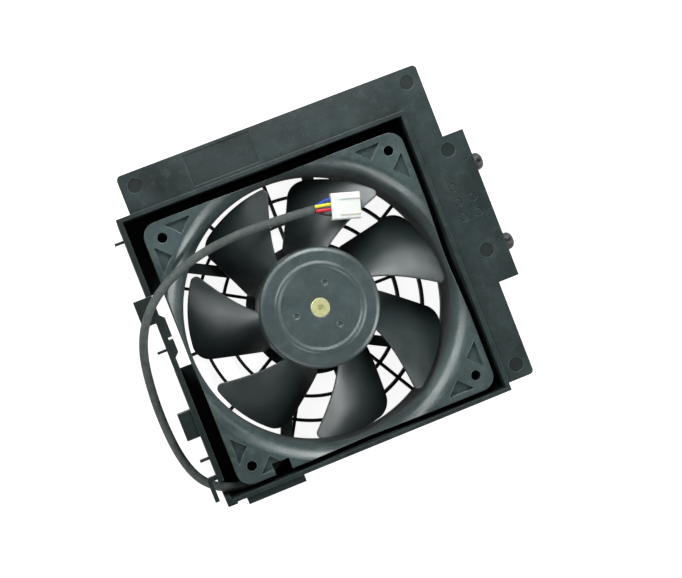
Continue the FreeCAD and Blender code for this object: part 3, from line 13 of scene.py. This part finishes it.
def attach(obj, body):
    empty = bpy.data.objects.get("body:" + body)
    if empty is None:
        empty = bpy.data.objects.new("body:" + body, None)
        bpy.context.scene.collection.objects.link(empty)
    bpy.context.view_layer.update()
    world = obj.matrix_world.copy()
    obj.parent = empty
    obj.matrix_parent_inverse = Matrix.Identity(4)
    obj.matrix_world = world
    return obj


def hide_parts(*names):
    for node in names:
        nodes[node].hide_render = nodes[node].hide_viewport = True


MM = 0.001
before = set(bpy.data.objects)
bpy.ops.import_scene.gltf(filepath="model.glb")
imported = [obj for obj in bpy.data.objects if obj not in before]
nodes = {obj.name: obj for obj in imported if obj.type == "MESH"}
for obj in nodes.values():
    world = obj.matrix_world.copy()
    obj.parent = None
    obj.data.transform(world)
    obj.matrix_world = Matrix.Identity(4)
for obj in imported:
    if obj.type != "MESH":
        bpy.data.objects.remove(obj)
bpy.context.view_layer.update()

# Camera: position and aim in mm in the part's frame, roll in degrees, lens for a 36 mm sensor
CAMERA_AT = Vector((-72.0, 25.0, 742.0)) * MM
CAMERA_AIM = Vector((11.101, 4.179, 42.0)) * MM
CAMERA_ROLL = -21.327
CAMERA_LENS = 86.092
SENSOR_WIDTH = 36.0

# Slightly green light, as under a light tent, and the strength of the even light from all round
LIGHT_COLOUR = (0.96, 1.0, 0.99)
EVEN_LIGHT = 0.075

# Square soft lamps: name, metres from the aim along the camera's right, up and back, side in metres, power
LAMPS = [
    ("key", -0.02, 0.2, 0.18, 0.15, 0.41),
    ("right", 0.68, -0.16, 0.38, 0.45, 3.3),
    ("top", 0.15, 0.68, 0.38, 0.45, 2.2),
    ("upper_left", -0.61, 0.35, 0.38, 0.6, 3.9),
    ("lower_left", -0.2, -0.67, 0.38, 0.45, 1.65),
]

# Floor: half its side and its height in metres, its glow to the camera and in reflections
FLOOR_HALF = 2.0
FLOOR_HEIGHT = -0.0005
FLOOR_GLOW = 0.92
FLOOR_REFLECTED = 0.4

# Upward part of a direction over which the white surroundings fade in reflections
HORIZON_FADE = (0.2, 0.45)

# Cable route in mm: from the fan's corner out over the holder's side and back across the inlet
CABLE_ROUTE = [
    (-37.8, -54.2, 33.4),
    (-43.8, -57.6, 33.4),
    (-52.6, -60.2, 33.6),
    (-62.0, -59.0, 34.6),
    (-70.0, -55.8, 35.2),
    (-76.6, -48.6, 32.6),
    (-80.2, -36.0, 29.4),
    (-81.2, -18.0, 29.2),
    (-80.0, -1.0, 34.6),
    (-77.6, 11.0, 44.0),
    (-72.6, 21.4, 48.8),
    (-63.4, 30.8, 48.6),
    (-49.0, 38.0, 45.2),
    (-31.0, 41.8, 41.4),
    (-9.0, 42.4, 40.6),
    (13.0, 40.4, 41.0),
]
CABLE_DIAMETER = 3.8 * MM
CABLE_SIDES = 20
STEPS_PER_POINT = 10
WEAVE_REPEATS = 6

# Feature sizes of the materials in metres
DUST_SPECK = 0.0007
METAL_GRAIN = 0.0004
WIRE_CLOUD = 0.002
WIRE_GRAIN = 0.0006
RUBBER_MOTTLE = 0.0016
SLEEVE_CLOUD = 0.003
BOARD_RUN = 0.004
FLOOR_CLOUD = 0.4

# Moulded plastic: contrasts of its smudges and dust, tones of its painted shade
# and of its edges' painted highlight and wear, spread of its gloss
SMUDGE_CONTRAST = 2.4
DUST_CONTRAST = 4.0
SHADED_TONE = 0.35
EDGE_HIGHLIGHT_AND_WEAR_TONE = 4.0
GLOSS_SPREAD = 0.08

# Rounded edges: samples, and how far the normals agree from where an edge starts to where it is full
EDGE_SAMPLES = 6
EDGE_AGREEMENT = (0.99, 0.8)

# Places in metres where a material's colour or its painted shade changes, each from the start of the change to
# its end
PANEL_HEIGHT = 0.04365
MARKS_FROM_PANEL = (0.00002, 0.00003)
MARKS_END = (0.00008, 0.0001)
LATCH_SIDE_X = (-0.056, -0.066)
HUB_EDGE_RADIUS = (0.0262, 0.0275)
THROAT_HEIGHT = (0.039, 0.03)
SHAFT_FRONT_HEIGHT = (0.0402, 0.0406)


# Camera and lamps
def camera_axes():
    """The camera's right, up and backward directions."""
    forward = (CAMERA_AIM - CAMERA_AT).normalized()
    right = forward.cross(Vector((0, 1, 0))).normalized()
    up = right.cross(forward)
    turn = math.radians(CAMERA_ROLL)
    rolled_right = right * math.cos(turn) + up * math.sin(turn)
    rolled_up = up * math.cos(turn) - right * math.sin(turn)
    return rolled_right, rolled_up, -forward


def add_camera():
    data = bpy.data.cameras.new("camera")
    data.sensor_fit = "HORIZONTAL"
    data.sensor_width = SENSOR_WIDTH
    data.lens = CAMERA_LENS
    camera = bpy.data.objects.new("camera", data)
    right, up, back = camera_axes()
    turn = Matrix((right, up, back)).transposed().to_4x4()
    camera.matrix_world = Matrix.Translation(CAMERA_AT) @ turn
    bpy.context.scene.collection.objects.link(camera)
    bpy.context.scene.camera = camera


def add_lamp(name, across, upward, backward, size, power):
    """A square soft lamp that points at the camera's aim."""
    right, up, back = camera_axes()
    data = bpy.data.lights.new(name, "AREA")
    data.size = size
    data.energy = power
    data.color = LIGHT_COLOUR
    lamp = bpy.data.objects.new(name, data)
    place = CAMERA_AIM + right * across + up * upward + back * backward
    aim = (CAMERA_AIM - place).to_track_quat("-Z", "Y")
    lamp.matrix_world = Matrix.Translation(place) @ aim.to_matrix().to_4x4()
    bpy.context.scene.collection.objects.link(lamp)


# Material helpers
def new_material(name):
    material = bpy.data.materials.new(name)
    material.use_nodes = True
    tree = material.node_tree
    return material, tree, tree.nodes["Principled BSDF"]


def add_noise(tree, feature, detail, roughness=0.5):
    """Noise in object space whose features are about that many metres across."""
    place = tree.nodes.new("ShaderNodeTexCoord")
    noise = tree.nodes.new("ShaderNodeTexNoise")
    noise.inputs["Scale"].default_value = 1.0 / feature
    noise.inputs["Detail"].default_value = detail
    noise.inputs["Roughness"].default_value = roughness
    tree.links.new(place.outputs["Object"], noise.inputs["Vector"])
    return noise.outputs["Fac"]


def add_range(tree, source, spread, result=(0.0, 1.0)):
    """The value's spread mapped to the result's two ends, and held there beyond it."""
    ramp = tree.nodes.new("ShaderNodeMapRange")
    for name, end in zip(("From Min", "From Max", "To Min", "To Max"), (*spread, *result)):
        ramp.inputs[name].default_value = end
    tree.links.new(source, ramp.inputs["Value"])
    return ramp.outputs["Result"]


def add_mix(tree, factor, first, second):
    """A mix of two colours, each a tuple or another node's output."""
    mix = tree.nodes.new("ShaderNodeMix")
    mix.data_type = "RGBA"
    tree.links.new(factor, mix.inputs["Factor"])
    for socket, colour in (("A", first), ("B", second)):
        target = next(i for i in mix.inputs if i.name == socket and i.type == "RGBA")
        if isinstance(colour, tuple):
            target.default_value = (*colour, 1.0)
        else:
            tree.links.new(colour, target)
    return next(o for o in mix.outputs if o.type == "RGBA")


def add_bump(tree, shader, height, strength, distance, under=None):
    """A bumpy surface, over rounded edges when their normal is given."""
    bump = tree.nodes.new("ShaderNodeBump")
    bump.inputs["Strength"].default_value = strength
    bump.inputs["Distance"].default_value = distance
    tree.links.new(height, bump.inputs["Height"])
    if under:
        tree.links.new(under, bump.inputs["Normal"])
    tree.links.new(bump.outputs["Normal"], shader.inputs["Normal"])


def add_rounding(tree, radius):
    """The normal of slightly rounded edges, and a mask that is 1 on those edges."""
    bevel = tree.nodes.new("ShaderNodeBevel")
    bevel.samples = EDGE_SAMPLES
    bevel.inputs["Radius"].default_value = radius
    plain = tree.nodes.new("ShaderNodeNewGeometry")
    agree = tree.nodes.new("ShaderNodeVectorMath")
    agree.operation = "DOT_PRODUCT"
    tree.links.new(bevel.outputs["Normal"], agree.inputs[0])
    tree.links.new(plain.outputs["Normal"], agree.inputs[1])
    return bevel.outputs["Normal"], add_range(tree, agree.outputs["Value"], EDGE_AGREEMENT)


def add_place(tree):
    """Place across the part, height along the fan axis and distance from that axis, in metres."""
    place = tree.nodes.new("ShaderNodeTexCoord")
    split = tree.nodes.new("ShaderNodeSeparateXYZ")
    tree.links.new(place.outputs["Object"], split.inputs["Vector"])
    flat = tree.nodes.new("ShaderNodeCombineXYZ")
    tree.links.new(split.outputs["X"], flat.inputs["X"])
    tree.links.new(split.outputs["Y"], flat.inputs["Y"])
    length = tree.nodes.new("ShaderNodeVectorMath")
    length.operation = "LENGTH"
    tree.links.new(flat.outputs["Vector"], length.inputs[0])
    return split.outputs["X"], split.outputs["Z"], length.outputs["Value"]


def combined(tree, operation, first, second):
    """Two values put together by a maths operation; the second may be a plain number."""
    node = tree.nodes.new("ShaderNodeMath")
    node.operation = operation
    tree.links.new(first, node.inputs[0])
    if isinstance(second, float):
        node.inputs[1].default_value = second
    else:
        tree.links.new(second, node.inputs[1])
    return node.outputs["Value"]


def scaled(colour, factor):
    return tuple(min(1.0, c * factor) for c in colour)


def spread_round(middle, below, above):
    """The two ends of a range round a middle value."""
    return middle - below, middle + above


# Painted shade: places where a plastic is darker
def painted_holder_shade(tree):
    """Painted shade on the holder: the floors of the flange's marks, its shallow panel, the latch side.

    The marks' floors are just above and below the panel's.
    """
    across, height, _ = add_place(tree)
    from_panel = combined(tree, "ABSOLUTE", combined(tree, "SUBTRACT", height, PANEL_HEIGHT), 0.0)
    # Painted shade in the floors of the marks and the panel
    floors = add_range(tree, from_panel, MARKS_FROM_PANEL, (0.3, 0.8))
    near = add_range(tree, from_panel, MARKS_END, (1.0, 0.0))
    floors = combined(tree, "MULTIPLY", floors, near)
    # Painted shade on the holder's latch side
    painted_latch_side_shade = add_range(tree, across, LATCH_SIDE_X, (0.0, 0.5))
    return combined(tree, "MAXIMUM", floors, painted_latch_side_shade)


def painted_blade_shade(tree):
    """Painted shade on the blades; the hub keeps the plastic's own tone."""
    _, _, radius = add_place(tree)
    return add_range(tree, radius, HUB_EDGE_RADIUS, (0.0, 0.75))


def painted_throat_shade(tree):
    """Painted shade in the fan housing below its bell mouth, darker towards the outlet."""
    _, height, _ = add_place(tree)
    return add_range(tree, height, THROAT_HEIGHT, (0.0, 0.85))


# Materials
def moulded(
    name, colour, roughness, grain, cloud=0.018, contrast=0.25, sheen=0.5, edge_highlight_and_wear=0.0, rounding=0.0004,
    shade=None, dull=0.0,
):
    """Moulded plastic: cloudy tone, smudges, dust specks, grain, uneven gloss, painted shade, painted edge
    highlight, edge wear.

    shade is a function that adds a mask of painted shade, where the plastic is darker and duller by that much.
    """
    material, tree, shader = new_material(name)
    tone = add_range(tree, add_noise(tree, cloud, detail=5.0, roughness=0.6), (0.32, 0.68))
    base = add_mix(tree, tone, scaled(colour, 1 - contrast), scaled(colour, 1 + contrast))
    smudges = add_noise(tree, cloud * 0.22, detail=4.0, roughness=0.65)
    smudge = add_range(tree, smudges, (0.52, 0.7), (0.0, 0.5))
    base = add_mix(tree, smudge, base, scaled(colour, 1 + SMUDGE_CONTRAST * contrast))
    dust = add_range(tree, add_noise(tree, DUST_SPECK, detail=2.0), (0.62, 0.78), (0.0, 0.55))
    base = add_mix(tree, dust, base, scaled(colour, 1 + DUST_CONTRAST * contrast))
    patches = add_noise(tree, cloud * 0.6, detail=4.0)
    gloss = add_range(tree, patches, (0.3, 0.7), spread_round(roughness, GLOSS_SPREAD, GLOSS_SPREAD))
    if shade:
        mask = shade(tree)
        # Painted shade: darker, and duller by dull, where the mask is
        base = add_mix(tree, mask, base, scaled(colour, SHADED_TONE))
        gloss = combined(tree, "ADD", gloss, combined(tree, "MULTIPLY", mask, dull))
    tree.links.new(gloss, shader.inputs["Roughness"])
    shader.inputs["Specular IOR Level"].default_value = sheen
    rounded = None
    if edge_highlight_and_wear:
        rounded, edges = add_rounding(tree, rounding)
        # Paler rounded edges: painted highlight, with some wear
        base = add_mix(tree, combined(tree, "MULTIPLY", edges, edge_highlight_and_wear), base, scaled(colour, EDGE_HIGHLIGHT_AND_WEAR_TONE))
    tree.links.new(base, shader.inputs["Base Color"])
    pits = add_noise(tree, DUST_SPECK * 0.7, detail=3.0)
    add_bump(tree, shader, pits, strength=grain, distance=0.0002, under=rounded)
    return material


def metal(name, colour, roughness, front=None):
    """Turned or ground metal with fine uneven gloss, and another colour on its front end if given."""
    material, tree, shader = new_material(name)
    tone = add_noise(tree, METAL_GRAIN, detail=4.0)
    base = add_mix(tree, tone, scaled(colour, 0.82), scaled(colour, 1.12))
    if front:
        _, height, _ = add_place(tree)
        base = add_mix(tree, add_range(tree, height, SHAFT_FRONT_HEIGHT, (0.0, 0.9)), base, front)
    tree.links.new(base, shader.inputs["Base Color"])
    gloss = add_range(tree, tone, (0.3, 0.7), spread_round(roughness, 0.06, 0.1))
    tree.links.new(gloss, shader.inputs["Roughness"])
    shader.inputs["Metallic"].default_value = 1.0
    add_bump(tree, shader, tone, strength=0.08, distance=0.0001)
    return material


def coated_wire(name, colour):
    """Extruded insulation: slightly uneven tone, soft gloss."""
    material, tree, shader = new_material(name)
    tone = add_noise(tree, WIRE_CLOUD, detail=3.0)
    base = add_mix(tree, tone, scaled(colour, 0.8), scaled(colour, 1.15))
    tree.links.new(base, shader.inputs["Base Color"])
    gloss = add_range(tree, tone, (0.3, 0.7), (0.3, 0.45))
    tree.links.new(gloss, shader.inputs["Roughness"])
    add_bump(tree, shader, add_noise(tree, WIRE_GRAIN, detail=2.0), strength=0.1, distance=0.0001)
    return material


def soft_rubber(name):
    """Mottled dark grey rubber with soft highlights."""
    material, tree, shader = new_material(name)
    tone = add_range(tree, add_noise(tree, RUBBER_MOTTLE, detail=5.0, roughness=0.65), (0.35, 0.65))
    base = add_mix(tree, tone, (0.0075, 0.008, 0.008), (0.077, 0.081, 0.079))
    tree.links.new(base, shader.inputs["Base Color"])
    gloss = add_range(tree, tone, (0.0, 1.0), (0.22, 0.4))
    tree.links.new(gloss, shader.inputs["Roughness"])
    add_bump(tree, shader, tone, strength=0.35, distance=0.0003)
    return material


def woven_sleeve(name):
    """Close-woven cable sleeve: two crossing sets of threads over the tube's own coordinates."""
    material, tree, shader = new_material(name)
    place = tree.nodes.new("ShaderNodeTexCoord")
    threads = []
    for turn in (1.0, -1.0):
        lean = tree.nodes.new("ShaderNodeMapping")
        lean.inputs["Rotation"].default_value = (0.0, 0.0, math.radians(45) * turn)
        tree.links.new(place.outputs["UV"], lean.inputs["Vector"])
        wave = tree.nodes.new("ShaderNodeTexWave")
        wave.inputs["Scale"].default_value = 1.4
        wave.inputs["Distortion"].default_value = 0.8
        tree.links.new(lean.outputs["Vector"], wave.inputs["Vector"])
        threads.append(wave.outputs["Fac"])
    weave = combined(tree, "MAXIMUM", *threads)
    cloud = add_noise(tree, SLEEVE_CLOUD, detail=5.0, roughness=0.65)
    base = add_mix(tree, weave, (0.0075, 0.0093, 0.0093), (0.0935, 0.1107, 0.1067))
    base = add_mix(tree, add_range(tree, cloud, (0.4, 0.7), (0.0, 0.5)), base, (0.15, 0.173, 0.167))
    tree.links.new(base, shader.inputs["Base Color"])
    shader.inputs["Roughness"].default_value = 0.68
    add_bump(tree, shader, weave, strength=0.5, distance=0.0003)
    return material


def printed_board(name):
    """Green solder mask with paler copper runs."""
    material, tree, shader = new_material(name)
    runs = add_range(tree, add_noise(tree, BOARD_RUN, detail=1.0), (0.5, 0.53))
    base = add_mix(tree, runs, (0.02, 0.09, 0.045), (0.04, 0.16, 0.08))
    tree.links.new(base, shader.inputs["Base Color"])
    shader.inputs["Roughness"].default_value = 0.35
    add_bump(tree, shader, runs, strength=0.2, distance=0.0001)
    return material


def translucent(material, weight, depth):
    """The material with some light that spreads below its surface, to that depth in metres."""
    shader = material.node_tree.nodes["Principled BSDF"]
    shader.inputs["Subsurface Weight"].default_value = weight
    shader.inputs["Subsurface Scale"].default_value = depth
    return material


# Floor and surroundings
def mixed_shader(tree, factor, first, second):
    blend = tree.nodes.new("ShaderNodeMixShader")
    for socket, source in zip(blend.inputs, (factor, first, second)):
        tree.links.new(source, socket)
    return blend.outputs["Shader"]


def seen_as_background(tree, plain, white):
    """The white shader for the camera and in reflections, and the plain one for bounced light."""
    rays = tree.nodes.new("ShaderNodeLightPath")
    direct = combined(tree, "MAXIMUM", rays.outputs["Is Camera Ray"], rays.outputs["Is Glossy Ray"])
    direct = combined(tree, "MAXIMUM", direct, rays.outputs["Is Transmission Ray"])
    return mixed_shader(tree, direct, plain, white)


def pale_floor(name):
    """Pale floor with a faint tone, lifted to white around a faint shadow, and clear from below."""
    material, tree, shader = new_material(name)
    tone = add_noise(tree, FLOOR_CLOUD, detail=2.0)
    base = add_mix(tree, tone, (0.5, 0.5, 0.5), (0.55, 0.55, 0.55))
    tree.links.new(base, shader.inputs["Base Color"])
    shader.inputs["Roughness"].default_value = 0.9
    plain = shader.outputs["BSDF"]
    rays = tree.nodes.new("ShaderNodeLightPath")
    lift = add_range(tree, rays.outputs["Is Camera Ray"], (0.0, 1.0), (FLOOR_REFLECTED, FLOOR_GLOW))
    glow = tree.nodes.new("ShaderNodeEmission")
    tree.links.new(lift, glow.inputs["Strength"])
    white = tree.nodes.new("ShaderNodeAddShader")
    tree.links.new(plain, white.inputs[0])
    tree.links.new(glow.outputs["Emission"], white.inputs[1])
    above = seen_as_background(tree, plain, white.outputs["Shader"])
    side = tree.nodes.new("ShaderNodeNewGeometry")
    clear = tree.nodes.new("ShaderNodeBsdfTransparent")
    surface = mixed_shader(tree, side.outputs["Backfacing"], above, clear.outputs["BSDF"])
    tree.links.new(surface, tree.nodes["Material Output"].inputs["Surface"])
    return material


def set_world():
    """Even surroundings: white to the camera and low down in reflections, dim as light."""
    world = bpy.data.worlds.new("studio")
    bpy.context.scene.world = world
    world.use_nodes = True
    tree = world.node_tree
    light = tree.nodes["Background"]
    light.inputs["Color"].default_value = (*LIGHT_COLOUR, 1.0)
    light.inputs["Strength"].default_value = EVEN_LIGHT
    white = tree.nodes.new("ShaderNodeBackground")
    white.inputs["Color"].default_value = (1.0, 1.0, 1.0, 1.0)
    around = tree.nodes.new("ShaderNodeTexCoord")
    axes = tree.nodes.new("ShaderNodeSeparateXYZ")
    tree.links.new(around.outputs["Generated"], axes.inputs["Vector"])
    fade = add_range(tree, axes.outputs["Z"], HORIZON_FADE, (1.0, EVEN_LIGHT))
    rays = tree.nodes.new("ShaderNodeLightPath")
    fade = combined(tree, "MAXIMUM", fade, rays.outputs["Is Camera Ray"])
    tree.links.new(fade, white.inputs["Strength"])
    surface = seen_as_background(tree, light.outputs["Background"], white.outputs["Background"])
    tree.links.new(surface, tree.nodes["World Output"].inputs["Surface"])


def new_object(name, builder, material):
    """A mesh object from a bmesh, with its material."""
    data = bpy.data.meshes.new(name)
    builder.to_mesh(data)
    builder.free()
    data.materials.append(material)
    piece = bpy.data.objects.new(name, data)
    bpy.context.scene.collection.objects.link(piece)
    return piece


def add_floor():
    builder = bmesh.new()
    corners = []
    for x, y in ((-1, -1), (1, -1), (1, 1), (-1, 1)):
        corners.append(builder.verts.new((x * FLOOR_HALF, y * FLOOR_HALF, FLOOR_HEIGHT)))
    builder.faces.new(corners)
    floor = new_object("floor", builder, pale_floor("floor_white"))


# Cable sleeve: a tube along the route's smooth line
def route_line():
    """Points along the smooth spline that has the route's points as control points."""
    curve = bpy.data.curves.new("cable_line", "CURVE")
    curve.dimensions = "3D"
    curve.resolution_u = STEPS_PER_POINT
    spline = curve.splines.new("NURBS")
    spline.points.add(len(CABLE_ROUTE) - 1)
    for point, place in zip(spline.points, CABLE_ROUTE):
        point.co = (*(Vector(place) * MM), 1.0)
    spline.order_u = 3
    spline.use_endpoint_u = True
    holder = bpy.data.objects.new("cable_line", curve)
    mesh = bpy.data.meshes.new_from_object(holder)
    points = [v.co.copy() for v in mesh.vertices]
    bpy.data.objects.remove(holder)
    bpy.data.meshes.remove(mesh)
    return points


def tube_mesh(points):
    """A closed tube along the points, with coordinates for its weave, and its length."""
    builder = bmesh.new()
    uv = builder.loops.layers.uv.new("weave")
    along = 0.0
    side = Vector((0, 0, 1)).cross(points[1] - points[0]).normalized()
    rings = []
    travelled = []
    for i, point in enumerate(points):
        ahead = points[min(i + 1, len(points) - 1)] - points[max(i - 1, 0)]
        ahead.normalize()
        side = (side - ahead * side.dot(ahead)).normalized()
        over = ahead.cross(side)
        if i:
            along += (point - points[i - 1]).length
        ring = []
        for k in range(CABLE_SIDES):
            turn = 2 * math.pi * k / CABLE_SIDES
            outward = side * math.cos(turn) + over * math.sin(turn)
            ring.append(builder.verts.new(point + outward * (CABLE_DIAMETER / 2)))
        rings.append(ring)
        travelled.append(along / (math.pi * CABLE_DIAMETER))
    for i in range(len(rings) - 1):
        here, there = rings[i], rings[i + 1]
        for k in range(CABLE_SIDES):
            after = (k + 1) % CABLE_SIDES
            face = builder.faces.new((here[k], here[after], there[after], there[k]))
            face.smooth = True
            spots = ((i, k), (i, k + 1), (i + 1, k + 1), (i + 1, k))
            for loop, (row, column) in zip(face.loops, spots):
                loop[uv].uv = (travelled[row] * WEAVE_REPEATS, column / CABLE_SIDES * WEAVE_REPEATS)
    builder.faces.new(reversed(rings[0]))
    builder.faces.new(rings[-1])
    return builder, along


def add_cable(material):
    points = route_line()
    builder, along = tube_mesh(points)
    cable = new_object("cable", builder, material)
    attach(cable, "holder")
    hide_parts("cable_sleeve")
    on_it = [nodes[n] for n in ("lead_black", "lead_red", "lead_yellow", "lead_blue")]
    on_it += [nodes["plug_housing"], nodes["plug_contacts"]]


def paint(material, *names):
    for name in names:
        data = nodes[name].data
        data.materials.clear()
        data.materials.append(material)


# Holder
holder_plastic = moulded(
    "holder_plastic", (0.0182, 0.0284, 0.0288), roughness=0.42, grain=0.35, cloud=0.022, contrast=0.5,
    sheen=0.48, edge_highlight_and_wear=0.6, shade=painted_holder_shade,
)
paint(holder_plastic, "holder_frame", "latch_arm")
paint(soft_rubber("bumper_rubber"), "side_bumpers")
paint(moulded("guard_plastic", (0.015, 0.0173, 0.0173), roughness=0.6, grain=0.2), "finger_guard")
paint(metal("screw_steel", (0.06, 0.06, 0.065), roughness=0.4), "fan_screws")

# Fan
housing_plastic = moulded(
    "housing_plastic", (0.054, 0.076, 0.0773), roughness=0.27, grain=0.12, cloud=0.016, contrast=0.34,
    sheen=0.93, edge_highlight_and_wear=0.3, shade=painted_throat_shade, dull=0.7,
)
paint(housing_plastic, "fan_housing", "rear_cap")
impeller_plastic = moulded(
    "impeller_plastic", (0.053, 0.0733, 0.076), roughness=0.36, grain=0.08, sheen=1.0, edge_highlight_and_wear=0.2,
    rounding=0.001, shade=painted_blade_shade,
)
paint(impeller_plastic, "impeller")

# Motor
bearing_steel = metal("bearing_steel", (0.7, 0.71, 0.72), roughness=0.2)
paint(bearing_steel, "front_bearing_outer", "rear_bearing_outer", "front_bearing_inner", "rear_bearing_inner")
shaft_steel = metal("shaft_steel", (0.62, 0.62, 0.6), roughness=0.42, front=(0.9, 0.88, 0.48))
paint(shaft_steel, "rotor_shaft", "retaining_clip", "preload_spring")
paint(metal("yoke_steel", (0.4, 0.4, 0.4), roughness=0.45), "rotor_yoke", "stator_core")
paint(moulded("magnet", (0.05, 0.048, 0.047), roughness=0.6, grain=0.2), "magnet_ring")
paint(metal("brass", (0.95, 0.93, 0.5), roughness=0.5), "shaft_bush", "bearing_tube")
insulator = moulded("insulator", (0.7, 0.68, 0.6), roughness=0.5, grain=0.1, contrast=0.06)
paint(insulator, "stator_insulator")
paint(metal("winding", (0.6, 0.25, 0.1), roughness=0.3), "coil_windings")
paint(printed_board("board"), "circuit_board")
paint(moulded("board_part", (0.02, 0.02, 0.02), roughness=0.5, grain=0.1), "board_parts")

# Lead and plug
paint(coated_wire("wire_black", (0.015, 0.016, 0.016)), "lead_black")
paint(coated_wire("wire_red", (0.69, 0.027, 0.04)), "lead_red")
paint(coated_wire("wire_yellow", (0.93, 0.8, 0.04)), "lead_yellow")
paint(coated_wire("wire_blue", (0.025, 0.08, 0.56)), "lead_blue")
plug_plastic = moulded("plug_plastic", (0.8, 0.81, 0.79), roughness=0.38, grain=0.06, contrast=0.05)
paint(translucent(plug_plastic, weight=0.6, depth=0.002), "plug_housing")
paint(metal("contact", (0.7, 0.64, 0.5), roughness=0.3), "plug_contacts")
add_cable(woven_sleeve("cable_weave"))

# Studio
add_floor()
add_camera()
for lamp_row in LAMPS:
    add_lamp(*lamp_row)
set_world()
bpy.context.scene.view_settings.view_transform = "Standard"
